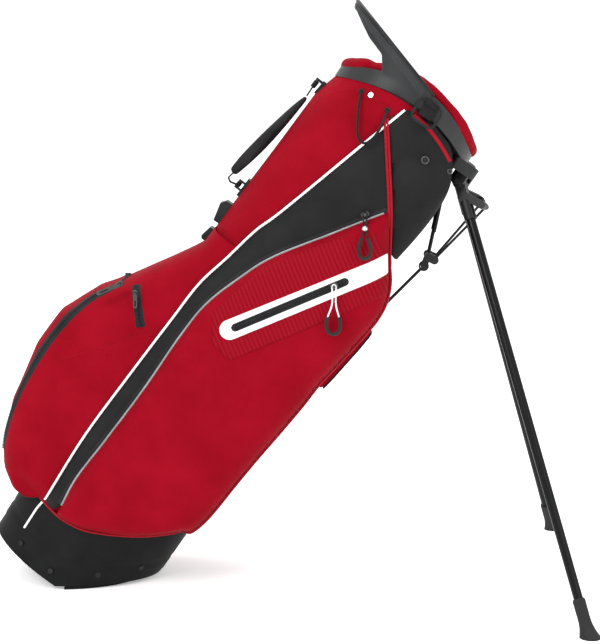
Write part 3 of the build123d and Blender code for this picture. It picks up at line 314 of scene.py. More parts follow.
def field_piece(name, outline, height, back, material, side=-1, spacing=6.0, skirt=3):
    """A panel over a (c, t) outline; height and back give its outer face and its edge's foot as |y|."""
    edge = even(np.vstack([outline, outline[:1]]), spacing)[:-1]
    low, high = edge.min(0), edge.max(0)
    rows = np.arange(low[1], high[1], spacing * 0.866)
    grid = np.array([(c + (spacing / 2 if i % 2 else 0), t) for i, t in enumerate(rows)
                     for c in np.arange(low[0], high[0], spacing)])
    keep = inside(grid[:, 0], grid[:, 1], edge)
    grid = grid[keep]
    ring = np.vstack([edge, edge[:1]])
    grid = grid[distance(grid[:, 0], grid[:, 1], ring) > spacing * 0.55]
    points = np.vstack([edge, grid])
    result = delaunay_2d_cdt([Vector(p) for p in points], [], [list(range(len(edge)))], 1, 1e-4)
    flat = np.array([tuple(v) for v in result[0]])
    c, t = flat[:, 0], flat[:, 1]
    y = height(c, t)
    vertices = [bag(a, side * b, d) for a, b, d in zip(c, y, t)]
    # the rim, walked in the outline's order
    used = {}
    for index, source in enumerate(result[3]):
        for original in source:
            if original < len(edge):
                used[original] = index
    order = [used[i] for i in range(len(edge)) if i in used]
    foot = back(c[order], t[order])
    faces = [tuple(f) for f in result[2]]
    previous = order
    for step in range(1, skirt + 1):
        f = step / skirt
        current = []
        for k, index in enumerate(order):
            current.append(len(vertices))
            vertices.append(bag(c[index], side * (y[index] * (1 - f) + min(foot[k], y[index]) * f), t[index]))
        for k in range(len(order)):
            j = (k + 1) % len(order)
            faces.append((previous[j], previous[k], current[k], current[j]))
        previous = current
    if side > 0:
        faces = [f[::-1] for f in faces]
    obj = finish_mesh(name, vertices, faces, material, "bag")
    fix_normals(obj)
    return obj


def fix_normals(obj):
    work = bmesh.new()
    work.from_mesh(obj.data)
    bmesh.ops.recalc_face_normals(work, faces=work.faces)
    work.to_mesh(obj.data)
    work.free()


def tube_piece(name, line, radius, material):
    """A round cord of cloth or plastic along 3-D points (c, y, t), closed at its ends."""
    points = [bag(*p) for p in line]
    count = 10
    vertices = []
    up = Vector((0, -1, 0))
    for i, p in enumerate(points):
        along = (points[min(i + 1, len(points) - 1)] - points[max(i - 1, 0)]).normalized()
        across = along.cross(up).normalized()
        out = across.cross(along).normalized()
        r = radius * MM
        for k in range(count):
            a = 2 * math.pi * k / count
            vertices.append(p + across * (r * math.cos(a)) + out * (r * math.sin(a)))
    faces = ring_faces(len(points), count) + end_caps(len(points), count)
    return finish_mesh(name, vertices, faces, material, "bag")


def ribbon_piece(name, line, width, height, lift, material, side=-1, crown=0.6, wrap=False):
    """A flat strip laid on a surface along a (c, t) line, with a little crown and turned-down edges.

    A strip that wraps has its width measured over the surface, for a line beside a steep edge.
    """
    line = np.array(line, float)
    vertices, across = [], 7
    offsets = np.linspace(-width / 2, width / 2, across)
    for o in offsets:
        moved = over_surface(line, height, o) if wrap and o else offset_line(line, o)
        y = height(moved[:, 0], moved[:, 1])
        rise = lift + crown * (1 - (2 * o / width) ** 2) - (lift + 0.6 if abs(o) > width / 2 - 1e-6 else 0)
        for (c, t), base in zip(moved, y):
            vertices.append(bag(c, side * (base + rise), t))
    faces = ring_faces(across, len(line), closed=False)
    if side > 0:
        faces = [f[::-1] for f in faces]
    return finish_mesh(name, vertices, faces, material, "bag")


def blocks_piece(name, line, size, pitch, height, lift, material, side=-1, across=False):
    """Small rounded blocks along a line: stitches, or a zipper's teeth when they lie across it."""
    line = even(line, pitch)
    d = np.gradient(line, axis=0)
    d /= np.linalg.norm(d, axis=1)[:, None]
    length, width, thick = size
    vertices, faces = [], []
    base = height(line[:, 0], line[:, 1])
    for (c, t), (dc, dt), y in zip(line, d, base):
        if across:
            dc, dt = -dt, dc
        start = len(vertices)
        for rise, shrink in ((-0.3, 1.0), (thick * 0.6, 1.0), (thick, 0.6)):
            for u, v in ((-1, -1), (1, -1), (1, 1), (-1, 1)):
                a, b = u * length / 2 * shrink, v * width / 2 * shrink
                vertices.append(bag(c + dc * a - dt * b, side * (y + lift + rise), t + dt * a + dc * b))
        for layer in (0, 4):
            for k in range(4):
                j = (k + 1) % 4
                low = start + layer
                faces.append((low + k, low + j, low + 4 + j, low + 4 + k))
        faces.append((start + 8, start + 9, start + 10, start + 11))
    if side > 0:
        faces = [f[::-1] for f in faces]
    return finish_mesh(name, vertices, faces, material, "bag", shade=False)


def paint(material, *names):
    for name in names:
        obj = NODES[name]
        obj.data.materials.clear()
        obj.data.materials.append(M[material])


def inflate(obj, voxel, cap, pressure=4.0, smooth_by=6):
    """Remeshes a soft solid, swells it with Cloth and keeps every point within cap of its start."""
    bpy.context.view_layer.objects.active = obj
    for other in bpy.context.selected_objects:
        other.select_set(False)
    obj.select_set(True)
    remesh = obj.modifiers.new("remesh", "REMESH")
    remesh.mode, remesh.voxel_size, remesh.use_smooth_shade = "VOXEL", voxel * MM, True
    soften = obj.modifiers.new("soften", "SMOOTH")
    soften.factor, soften.iterations = 0.5, smooth_by
    for modifier in list(obj.modifiers):
        bpy.ops.object.modifier_apply(modifier=modifier.name)
    start = np.array([tuple(v.co) for v in obj.data.vertices])
    if pressure:
        scene = bpy.context.scene
        cloth = obj.modifiers.new("cloth", "CLOTH")
        cloth.settings.use_pressure = True
        cloth.settings.uniform_pressure_force = pressure
        cloth.settings.effector_weights.gravity = 0
        cloth.settings.quality = 5
        scene.frame_start, scene.frame_end = 1, 20
        for step in range(1, 21):
            scene.frame_set(step)
        bpy.ops.object.modifier_apply(modifier=cloth.name)
        scene.frame_set(1)
        end = np.array([tuple(v.co) for v in obj.data.vertices])
        move = end - start
        size = np.linalg.norm(move, axis=1)
        scale = np.where(size > cap * MM, cap * MM / np.maximum(size, 1e-9), 1.0)
        end = start + move * scale[:, None]
        obj.data.vertices.foreach_set("co", end.ravel())
        obj.data.update()
    divide = obj.modifiers.new("divide", "SUBSURF")
    divide.levels = divide.render_levels = 1
    bpy.ops.object.modifier_apply(modifier=divide.name)
    obj.data.shade_smooth()


def copy_of_node(name, new_name, material, body):
    obj = bpy.data.objects.new(new_name, NODES[name].data.copy())
    bpy.context.scene.collection.objects.link(obj)
    obj.data.materials.clear()
    obj.data.materials.append(M[material])
    for polygon in obj.data.polygons:
        polygon.material_index = 0
    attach(obj, body)
    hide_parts(name)
    return obj


def nurbs(name, points, diameter, material, body):
    """A round cord on one smooth curve."""
    data = bpy.data.curves.new(name, "CURVE")
    data.dimensions = "3D"
    spline = data.splines.new("NURBS")
    spline.points.add(len(points) - 1)
    for point, where in zip(spline.points, points):
        point.co = (*where, 1)
    spline.order_u = 3
    spline.use_endpoint_u = True
    spline.resolution_u = 8
    data.bevel_depth = diameter * MM / 2
    data.bevel_resolution = 4
    data.use_fill_caps = True
    data.materials.append(M[material])
    obj = bpy.data.objects.new(name, data)
    bpy.context.scene.collection.objects.link(obj)
    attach(obj, body)
    return obj


# ---------------------------------------------------------------- camera, light and floor
camera_data = bpy.data.cameras.new("camera")
camera_data.lens, camera_data.sensor_width = 101.9, 36.0
camera = bpy.data.objects.new("camera", camera_data)
camera.location = (0.435, -2.797, 0.841)
camera.rotation_euler = Euler((math.radians(81.16), 0, math.radians(2.64)))
bpy.context.scene.collection.objects.link(camera)
bpy.context.scene.camera = camera
bpy.context.scene.view_settings.view_transform = "Standard"


def area_light(name, where, target, size, power):
    data = bpy.data.lights.new(name, "AREA")
    data.shape, data.size, data.energy = "DISK", size, power
    light = bpy.data.objects.new(name, data)
    light.location = where
    light.rotation_euler = (Vector(target) - Vector(where)).to_track_quat("-Z", "Y").to_euler()
    bpy.context.scene.collection.objects.link(light)


area_light("key", (-1.3, -2.6, 2.6), (0.3, 0, 0.45), 1.6, 62)
area_light("fill", (2.6, -2.4, 1.4), (0.4, 0, 0.4), 2.2, 22)
area_light("top", (0.3, 0.6, 3.0), (0.3, 0, 0.4), 2.0, 40)
world = bpy.data.worlds.new("world")
world.use_nodes = True
world.node_tree.nodes["Background"].inputs["Color"].default_value = (1, 1, 1, 1)
world.node_tree.nodes["Background"].inputs["Strength"].default_value = 1.06
bpy.context.scene.world = world
floor_data = bpy.data.meshes.new("floor")
floor_data.from_pydata([(-30, -30, 0), (30, -30, 0), (30, 30, 0), (-30, 30, 0)], [], [(0, 1, 2, 3)])
floor_material, floor_tree, floor_shader = nodes_of("pale_floor")
floor_shader.inputs["Base Color"].default_value = (0.97, 0.97, 0.97, 1)
floor_shader.inputs["Roughness"].default_value = 0.9
floor_shader.inputs["Emission Color"].default_value = (1, 1, 1, 1)
floor_shader.inputs["Emission Strength"].default_value = 0.3
floor_data.materials.append(floor_material)
floor = bpy.data.objects.new("floor", floor_data)
bpy.context.scene.collection.objects.link(floor)

# ---------------------------------------------------------------- seam lines, near side, in (c, t)
PIPING = smooth([(15, 905), (-5, 836), (-49, 680), (-65, 632), (-77, 575), (-90, 517), (-94, 447),
                 (-99, 343), (-103, 223), (-98, 105)])
ZIP_LINE = smooth([(80, 768), (65, 746), (27, 689), (-22, 615), (-45, 561), (-64, 500), (-69, 438), (-69, 337),
                   (-73, 238), (-77, 165), (-72, 115)])
EDGE_PIPING = smooth([(1, 881), (38, 833), (83, 774), (124, 712), (145, 684), (157, 657), (161, 632),
                      (160, 606), (152, 540), (146, 495), (144, 455), (139, 397), (134, 348), (130, 299),
                      (127, 250), (124, 222), (118, 198), (106, 174)])
BASE_LINE = smooth([(-146, 104), (-120, 98), (-99, 97), (-63, 96), (-28, 102), (-3, 112), (52, 140),
                    (106, 172)])


def between(line, start, end):
    """The stretch of a line from nearest start to nearest end."""
    i = int(np.argmin(np.linalg.norm(line - np.array(start), axis=1)))
    j = int(np.argmin(np.linalg.norm(line - np.array(end), axis=1)))
    return line[i:j + 1] if i <= j else line[j:i + 1][::-1]


# Ball pocket: a section at each height, from c = BALL_IN out to the pocket's back.
BALL_BACK = np.array([(70, -152), (98, -190), (140, -212), (193, -230), (284, -247), (346, -245), (411, -217),
                      (450, -187), (499, -157), (540, -133), (562, -121), (600, -118)], float)
BALL_IN, BALL_POWER = -60.0, 3.4
BALL_HALF = np.array([(60, 91), (150, 93), (320, 94), (480, 93), (540, 89), (575, 84), (600, 78)], float)


def ball_back(t):
    return np.interp(t, BALL_BACK[:, 0], BALL_BACK[:, 1])


def ball_half(t):
    return np.interp(t, BALL_HALF[:, 0], BALL_HALF[:, 1])


def settle(y, c, t, slope=0.7):
    """Draws a face in towards the boot's rim, which it leaves at this slope."""
    rise = np.maximum(t - np.interp(c, BASE_LINE[:, 0], BASE_LINE[:, 1]), 0)
    limit = oval_y(BOOT, np.clip(c, -104, 100), t) + 3.0 + slope * rise
    return -2.0 * np.logaddexp(-np.asarray(y, float) / 2.0, -limit / 2.0)


def ball_y(c, t):
    share = np.clip((BALL_IN - c) / (BALL_IN - ball_back(t)), 0, 1)
    return settle(ball_half(t) * (1 - share ** BALL_POWER) ** (1 / BALL_POWER), c, t)


def at_piping(c, t):
    """Outer face under the white piping: the tube above, the ball pocket's side below."""
    return np.maximum(tube_y(c, t) + 2.4, np.where(t < 600, ball_half(t) + 1.6, 0))


def piping_y(c, t):
    return settle(at_piping(c, t), c, t)


def black_y(c, t):
    """The black panel's face, from the piping to the zipper."""
    to_piping, to_zip = distance(c, t, PIPING), distance(c, t, ZIP_LINE)
    share = to_piping / np.maximum(to_piping + to_zip, 1e-6)
    edge = at_piping(c, t)
    soft = share * share * (3 - 2 * share)
    swell = 2.0 * np.sin(math.pi * share)
    return settle(edge * (1 - soft) + np.maximum(edge, ZIP_Y) * soft + swell, c, t, 0.9)


def quarter(d, start, end, reach):
    """A height that rises from start to end in a quarter round, over this reach from a seam."""
    s = np.clip(d / reach, 0, 1)
    return start + (end - start) * np.sqrt(np.clip(1 - (1 - s) ** 2, 0, 1))


# |y| of the side pocket's seams and its full face
ZIP_Y, STAND_Y, FULL_Y = 104.0, 88.0, 139.5
STAND_EDGE = between(EDGE_PIPING, (83, 774), (106, 176))
POCKET_FLOOR = between(BASE_LINE, (-72, 98), (106, 172))
POCKET_OUTLINE = np.vstack([ZIP_LINE[::-1], STAND_EDGE, POCKET_FLOOR[::-1][1:-1]])


def pocket_y(c, t, folds=True):
    """Outer face of the big side pocket."""
    faces = np.stack([quarter(distance(c, t, ZIP_LINE), ZIP_Y, FULL_Y, 44),
                      quarter(distance(c, t, STAND_EDGE), STAND_Y, FULL_Y, 52),
                      quarter(distance(c, t, POCKET_FLOOR), ZIP_Y, FULL_Y, 40)], 1)
    blend = 4.0                                      # the faces run into each other over this much
    soft = -np.log(np.exp(-faces / blend).sum(1)) * blend
    if folds:
        soft = soft + 1.3 * waviness(c, t, 95, 3.1) + 0.7 * waviness(c, t, 36, 8.4)
    return settle(np.minimum(soft, FULL_Y + 2), c, t, 2.4)


def tube_foot(c, t):
    return np.maximum(tube_y(c, t) - 2, 47)


# ---------------------------------------------------------------- tube, pockets and panels
def tube_skin():
    """The red tube cloth, the black cloth of its stand side, and the dark lining inside them."""
    rows = 64
    looks = {"tube_cloth": (58, 302, 96, "red", "red_fabric"),
             "tube_cloth_stand": (-58, 58, 40, "black", "black_fabric"),
             "tube_lining": (0, 360, 97, "lining", "divider_fabric")}
    for name, (first, last, around, material, slot_name) in looks.items():
        vertices = []
        angles = np.linspace(first, last, around)
        for i in range(rows + 1):
            for a in np.radians(angles):
                top = saddle_t(97 * math.sin(a)) - 0.5
                t = 60 + (top - 60) * i / rows
                middle, reach, half = oval_at(TUBE, t)
                grow = 1.2 + 0.9 * noise.noise(Vector((math.cos(a) * 2, math.sin(a) * 2, t / 130)))
                grow -= 4.5 if name == "tube_lining" else 0
                vertices.append(bag(middle + (reach + grow) * math.cos(a), (half + grow) * math.sin(a), t))
        faces = ring_faces(rows + 1, around, closed=False)
        obj = finish_mesh(name, vertices, faces, material, "bag")
        if name == "tube_cloth":
            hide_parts("body_tube")


tube_skin()


BALL_LOW, BALL_HIGH = 84, 592


def ball_skin():
    """The ball pocket's cloth, with a floor that turns in over the boot's rim."""
    rows, around = 84, 72
    heights = np.linspace(BALL_LOW, BALL_HIGH, rows)
    vertices, floor_edge = [], []
    for row in heights:
        back, half = ball_back(row), float(ball_half(row))
        squeeze = min(1.0, 0.93 + 0.07 * (row - BALL_LOW) / 40)
        for a in np.radians(np.linspace(-90, 90, around)):
            x, y = abs(math.cos(a)) ** (2 / BALL_POWER), abs(math.sin(a)) ** (2 / BALL_POWER)
            c = BALL_IN + (back - BALL_IN) * x * squeeze
            # beside the piping the lower edge rises to the boot's rim
            lift = float(np.interp(c, (-125, -106), (0, 12.5)))
            t = row + lift * (BALL_HIGH - row) / (BALL_HIGH - BALL_LOW)
            wave = 1.4 * noise.noise(Vector((c / 80, math.copysign(y, a) * 1.3, t / 90)))
            wave += 0.6 * noise.noise(Vector((c / 30, math.copysign(y, a) * 3, t / 34)))
            out = float(settle(y * (half + wave * y), c, t))
            vertices.append(bag(c + wave * x, math.copysign(out, a), t))
            if row == heights[0]:
                floor_edge.append(bag(max(c, -128.0), 0.88 * math.copysign(out, a), t + 1.5))
    faces = [(a, d, c, b) for a, b, c, d in ring_faces(rows, around, closed=False)]
    last = len(vertices)
    vertices += floor_edge
    faces += [(k, k + 1, last + k + 1, last + k) for k in range(around - 1)]
    obj = finish_mesh("ball_pocket_cloth", vertices, faces, "red", "bag")
    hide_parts("ball_pocket")


ball_skin()

BALL_ZIP = smooth([(-186, 452), (-199, 426), (-214, 398), (-227, 350), (-231, 290), (-226, 220),
                   (-215, 167), (-198, 121)])
SMALL_ZIP = smooth([(-168, 457), (-126, 412)], 3)
BALL_SEAM = smooth([(-205, 289), (-161, 348), (-133, 390), (-99, 430)])
BOOT_PIPING = even([(-98, 105), (-101, 80), (-100, 42)], 6)[1:]      # the white piping's end on the boot
STITCH = (2.8, 0.7, 0.5)                                              # length, width and height
SIDES = ((-1, "near"), (1, "far"))
LEG_OUTLINE = np.vstack([[(4, 884), (15, 903)], even([(20, 908), (60, 912), (100, 900), (112, 890)], 8),
                         smooth([(124, 872), (137, 848), (143, 812), (141, 765), (134, 712)], 6),
                         between(EDGE_PIPING, (124, 712), (1, 881))[1:-1]])


def leg_y(c, t):
    """Outer face of the black panel on the stand side, which narrows towards the legs."""
    wide = 46 + 51 * np.sqrt(np.clip(1 - (np.clip(c - 52, 0, None) / 92.5) ** 2, 0, 1))
    share = np.clip((c - 18) / 36, 0, 1)
    across = wide * share * share * (3 - 2 * share)
    return np.maximum(tube_y(c, t) + 3.6, across) + 0.7 * waviness(c, t, 60, 5)


def edge_y(line):
    """|y| of the piping on the stand side: over the black cloths above, on the pocket's edge below."""
    c, t = line[:, 0], line[:, 1]
    share = np.clip((790 - t) / 80, 0, 1)
    above = np.minimum(np.maximum(leg_y(c, t), black_y(c, t)) + 1.4, 107)
    return settle(above * (1 - share) + 101 * share, c, t, 2.4)


for side, name in SIDES:
    panel = np.vstack([PIPING, between(BASE_LINE, (-99, 97), (-72, 98))[1:-1], ZIP_LINE[::-1],
                       between(EDGE_PIPING, (1, 881), (78, 781))[::-1]])
    obj = field_piece(f"side_panel_cloth_{name}", panel, black_y, lambda c, t: tube_y(c, t) - 2, "black",
                      side, 6.0)
    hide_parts(f"side_panel_{name}")
    obj = field_piece(f"side_pocket_cloth_{name}", POCKET_OUTLINE, pocket_y, tube_foot, "red",
                      side, 5.5, 6)
    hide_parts(f"side_pocket_{name}")

    obj = field_piece(f"leg_panel_cloth_{name}", LEG_OUTLINE, leg_y, lambda c, t: 0 * c + 44, "black",
                      side, 6.0, 4)
    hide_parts(f"leg_panel_{name}")

    # piping, tapes and seams
    y = piping_y(PIPING[:, 0], PIPING[:, 1])
    line = [(c, side * (v + 1.6), t) for (c, t), v in zip(PIPING, y)]
    line += [(c, side * (float(oval_y(BOOT, c, t)) + 1.6), t) for c, t in BOOT_PIPING]
    tube_piece(f"white_piping_{name}", line, 1.9, "white")
    outer = offset_line(EDGE_PIPING, -0.6)
    tube_piece(f"edge_piping_{name}", [(c, side * v, t) for (c, t), v in zip(outer, edge_y(EDGE_PIPING))],
               1.9, "red_trim")
    inner = offset_line(between(EDGE_PIPING, (1, 881), (132, 700)), -4.6)
    tube_piece(f"edge_binding_{name}", [(c, side * (v + 0.6), t) for (c, t), v in zip(inner, edge_y(inner))],
               1.9, "red_trim")
    strip = np.array([(c, saddle_t(float(tube_y(c, 890))) - 6) for c in np.linspace(30, 114, 30)])
    ribbon_piece(f"hem_strip_{name}", strip, 6.0, leg_y, 1.6, "red_trim", side)
    for label, c, t, radius in (("panel_snap", 81.6, 861.5, 5.0), ("panel_rivet", 122.0, 868.0, 3.0)):
        v = float(leg_y(np.array([c]), np.array([t]))[0])
        ring = [(c + radius * math.cos(a), side * (v + 1.6), t + radius * math.sin(a))
                for a in np.linspace(0, 2 * math.pi, 25)]
        tube_piece(f"{label}_{name}", ring, 1.5, "steel_dark")
        tube_piece(f"{label}_cap_{name}", [(c, side * (v - 1), t), (c + 0.05, side * (v + 2.2), t)],
                   radius * 0.8, "plastic")
    ribbon_piece(f"pocket_tape_{name}", ZIP_LINE, 15, black_y, 0.8, "tape", side)
    coil = ribbon_piece(f"pocket_coil_{name}", ZIP_LINE[1:], 4.6, black_y, 1.9, "reflective", side,
                        1.0)
    if side < 0:
        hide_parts("zip_tapes")
    base_y = oval_y(BOOT, BASE_LINE[:, 0], BASE_LINE[:, 1])
    tube_piece(f"base_piping_{name}", [(c, side * (v + 2.6), t - 1) for (c, t), v in zip(BASE_LINE, base_y)],
               2.0, "red_trim")
    blocks_piece(f"piping_stitches_{name}", offset_line(PIPING, -4.5)[2:-2], STITCH, 4.2,
                 lambda c, t: piping_y(c, t) + 0.4, 0.0, "thread_red", side)
    ribbon_piece(f"ball_tape_{name}", BALL_ZIP, 21, ball_y, 0.6, "tape", side, 0.8, wrap=True)
    blocks_piece(f"ball_teeth_{name}", BALL_ZIP, (5.0, 1.3, 1.3), 2.6, ball_y, 1.6, "plastic",
                 side, across=True)
    blocks_piece(f"ball_seam_{name}", BALL_SEAM, STITCH, 4.2, ball_y, 0.2, "thread_red", side)

ribbon_piece("small_zip_tape", SMALL_ZIP, 17, ball_y, 0.7, "tape", wrap=True)
blocks_piece("small_zip_teeth", SMALL_ZIP, (5.0, 1.3, 1.3), 2.6, ball_y, 1.5, "plastic",
             across=True)

# ---------------------------------------------------------------- welt with its zipper, near side
WELT_A, WELT_B = np.array([-14.0, 493.0]), np.array([123.0, 707.0])
WELT_DIR = (WELT_B - WELT_A) / np.linalg.norm(WELT_B - WELT_A)


def flat_pocket(c, t):
    return pocket_y(c, t, folds=False)


def stadium(start, end, half, round_end=True):
    """A strip's outline about start to end, with one or both ends half-round."""
    along = (end - start) / np.linalg.norm(end - start)
    out = np.array([-along[1], along[0]])
    points = []
    for centre, first, count in ((start, 90, 13), (end, -90, 13 if round_end else 2)):
        for a in np.radians(np.linspace(first, first + 180, count)):
            points.append(centre + half * (math.cos(a) * along + math.sin(a) * out))
    return np.array(points)


# the bands' upper ends run in line with the edge piping
band = stadium(WELT_A, WELT_B, 15.0, False)
band[-2:] = (132.0, 694.0), (114.5, 718.5)
red_band = stadium(WELT_A, WELT_B, 16.6, False)
red_band[-2:] = (133.0, 692.6), (113.6, 720.0)
SLOT_A, SLOT_B = WELT_A + WELT_DIR * 9, np.array([85.0, 649.0])
slot = stadium(SLOT_A, SLOT_B + WELT_DIR, 6.0)


def raised(by):
    return lambda c, t: flat_pocket(c, t) + by


for name, outline, level, material, slot_name in (
        ("tonal_patch", np.array([(-50, 498), (-24, 462), (12, 455), (140, 655), (150, 668), (128, 702),
                                  (86, 734), (60, 727), (24, 672), (-26, 596)]), 0.9, "red_patch", "red_fabric"),
        ("welt_edge", red_band, 1.5, "red_trim", "red_fabric"),
        ("welt_band", band, 2.2, "white", "welt_white"),
        ("welt_slot", slot, 2.6, "tape", "zip_tape")):
    obj = field_piece(name, outline, raised(level), lambda c, t: flat_pocket(c, t) - 1.5, material,
                      -1, 4.0, 2)
    if name == "welt_band":
        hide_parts("welt_panel")
zip_run = even([SLOT_A, SLOT_B], 4)
blocks_piece("welt_teeth", zip_run, (4.6, 1.2, 1.2), 2.4, raised(2.6), 0.2, "plastic", across=True)
for sign in (-1, 1):
    lip = "low" if sign < 0 else "high"
    ribbon_piece(f"welt_lip_{lip}", offset_line(zip_run, sign * 4.4), 3.0, raised(2.6), 0.4, "tape",
                 crown=0.7)

# ---------------------------------------------------------------- cuff wing, boot shell, hem, dividers
CUFF_C, CUFF_REACH, CUFF_HALF, WING_REACH = 21.5, 121.0, 104.0, 157.5
WING_FOOT = np.array([(-136, 984), (-131, 983), (-117, 973), (-98, 961), (-70, 952), (-63, 934), (-58, 900)],
                     float)


def wing_top(turn):
    return 945 + (38 - (CUFF_C - WING_REACH * math.cos(turn))) * 51 / 174


def wing_foot(turn):
    """Lower edge: the bar's underside at the spine, the collar's lower edge at the sides."""
    across = CUFF_C - WING_REACH * math.cos(turn)
    collar = saddle_t(CUFF_HALF * math.sin(turn)) + 1.5
    return max(float(np.interp(across, WING_FOOT[:, 0], WING_FOOT[:, 1])), collar) if across < -58 else collar


def wing_place(turn, t, out):
    """A bag point of the wing; it leaves the cuff's oval at the collar and flares to its own oval."""
    top, start = wing_top(turn), 905 + 30 * math.sin(turn) ** 2
    flare = max(0.0, (t - start) / max(top - start, 1.0)) ** 1.15
    reach = CUFF_REACH + (WING_REACH - CUFF_REACH) * flare + out
    return CUFF_C - reach * math.cos(turn), (CUFF_HALF + out) * math.sin(turn), t


def wing_band(name, turns, low, high, outer, inner, material, rows=12):
    """A closed band of the wing between two heights and two offsets."""
    vertices = []
    loop = [(k / rows, outer) for k in range(rows + 1)] + [(k / rows, inner) for k in range(rows, -1, -1)]
    for turn in turns:
        for share, out in loop:
            bottom, top = low(turn), high(turn)
            vertices.append(bag(*wing_place(turn, bottom + (top - bottom) * share, out)))
    faces = ring_faces(len(turns), len(loop)) + end_caps(len(turns), len(loop))
    obj = finish_mesh(name, vertices, faces, material, "bag")
    fix_normals(obj)
    obj.data.set_sharp_from_angle(angle=math.radians(40))
    return obj


TURNS = np.radians(np.linspace(-96, 96, 145))
wing = wing_band("cuff_wing", TURNS, wing_foot, wing_top, 0.9, -4.6, "cuff", 18)
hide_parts("lift_handle")
wing_band("wing_inlay", TURNS[4:-4], lambda a: max(wing_top(a) - 16, wing_foot(a) + 1.5),
          lambda a: wing_top(a) - 4, 1.7, 0.2, "grip_inlay", 4)
wing_rim = [wing_place(turn, wing_top(turn), -1.8) for turn in TURNS]
tube_piece("wing_rim", wing_rim, 3.1, "plastic")


def boot_top(c):
    return float(np.interp(c, BASE_LINE[:, 0], BASE_LINE[:, 1])) + (0.58 * (c - 106) if c > 106 else 0)


def boot_shell():
    """The boot's outer skin, up to its curved rim, with a moulded line over the sole."""
    vertices, faces = [], []
    count, rows = 160, 14
    for k in range(count):
        a = 2 * math.pi * k / count
        c0 = -11 + 127 * math.cos(a)
        low = max(26.0, (12 + SIN * c0) / COS)
        top = boot_top(c0)
        ring = []
        for i in range(rows + 1):
            t = low + (top - low) * i / rows
            middle, reach, half = oval_at(BOOT, t)
            out = 0.1 if i == 4 else 1.1                 # one row lies deeper, as a moulded line
            ring.append(bag(middle + (reach + out) * math.cos(a), (half + out) * math.sin(a), t))
        middle, reach, half = oval_at(BOOT, top)
        for inner, lift in ((-1.2, 0.4), (-2.4, -8)):
            ring.append(bag(middle + (reach + inner) * math.cos(a), (half + inner) * math.sin(a), top + lift))
        vertices += ring
    n = rows + 3
    for k in range(count):
        j = (k + 1) % count
        for i in range(n - 1):
            faces.append((k * n + i, j * n + i, j * n + i + 1, k * n + i + 1))
    finish_mesh("boot_skin", vertices, faces, "boot", "bag")


boot_shell()
for side, name in SIDES:
    for row, drop in enumerate((17.0, 20.5)):
        hem = np.array([(c, saddle_t(float(tube_y(c, 890))) - drop) for c in np.linspace(-88, -4, 40)])
        blocks_piece(f"hem_stitches_{row + 1}_{name}", hem, STITCH, 4.2, lambda c, t: tube_y(c, t) + 1.6,
                     0.5, "thread_red", side)


DIVIDER_LOW, DIVIDER_HIGH = 34, 887


def divider_cloth():
    """Hanging cloth sheets between the club wells."""
    vertices, faces = [], []
    for kind in ("long", "near", "far"):
        start, n_across, n_up = len(vertices), 24, 70
        for face in (-0.8, 0.8):
            for i in range(n_up + 1):
                t = DIVIDER_LOW + (DIVIDER_HIGH - DIVIDER_LOW) * i / n_up
                middle, reach, half = oval_at(TUBE, t)
                for k in range(n_across + 1):
                    u = k / n_across
                    wave = 2.2 * math.sin(math.pi * u) * noise.noise(Vector((u * 2.4, t / 120, len(kind))))
                    if kind == "long":
                        c, y = middle + (reach - 13) * (2 * u - 1), wave + face
                        t_here = max(t, DIVIDER_LOW + 130 * max(0, c + 20) / 200)
                    else:
                        y = (2 + (half - 16) * u) * (-1 if kind == "near" else 1)
                        c, t_here = -36 + 45.5 * (t - 26) / 863 + wave + face, t
                    vertices.append(bag(c, y, t_here))
        n, layer = n_across + 1, (n_across + 1) * (n_up + 1)
        for i in range(n_up):
            for k in range(n_across):
                a = start + i * n + k
                faces.append((a, a + 1, a + n + 1, a + n))
                faces.append((a + layer, a + layer + n, a + layer + n + 1, a + layer + 1))
        for k in range(n_across):
            a = start + n_up * n + k
            faces.append((a, a + 1, a + 1 + layer, a + layer))
    cloth = finish_mesh("divider_cloth", vertices, faces, "lining", "bag")
    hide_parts("divider_sheets")


divider_cloth()

# ---------------------------------------------------------------- soft trims from their CAD solids
for node, name, slot_name, body in (("strap_band", "strap_webbing", "black_fabric", "bag"),
                                    ("ring_tab", "ring_webbing", "black_fabric", "bag"),
                                    ("handle_webbing", "carry_webbing", "black_fabric", "carry_handle")):
    strip = copy_of_node(node, name, "webbing", body)
    inflate(strip, 0.9, 0.6, 0.0, 2)


def rim_pad():
    """The padded rim of the mouth: full over the spine and stand sides, slim behind the wing."""
    vertices, faces = [], []
    count, around = 168, 20
    for i in range(count):
        a = 2 * math.pi * i / count
        c0 = CUFF_C + CUFF_REACH * math.cos(a)
        full = min(max((c0 - 62) / 44, (-66 - c0) / 12, 0.0), 1.0)
        full = full * full * (3 - 2 * full)
        inset, radius = 13.5 - 6.0 * full, 7.5 + 2.6 * full
        lift = 908.5 + 42 * math.sin(a) ** 2
        lift += 0.5 * noise.noise(Vector((math.cos(a) * 9, math.sin(a) * 9, 2)))
        for k in range(around):
            b = 2 * math.pi * k / around
            puff = radius * (1 + 0.05 * noise.noise(Vector((a * 9, math.cos(b), math.sin(b)))))
            out = -inset + puff * math.cos(b)
            vertices.append(bag(CUFF_C + (CUFF_REACH + out) * math.cos(a), (CUFF_HALF + out) * math.sin(a),
                                lift + 1.05 * puff * math.sin(b)))
    for i in range(count):
        for k in range(around):
            j, m = (i + 1) % count, (k + 1) % around
            faces.append((i * around + k, j * around + k, j * around + m, i * around + m))
    obj = finish_mesh("cuff_rim_pad", vertices, faces, "red", "bag")
    fix_normals(obj)
    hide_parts("cuff_pad")


rim_pad()


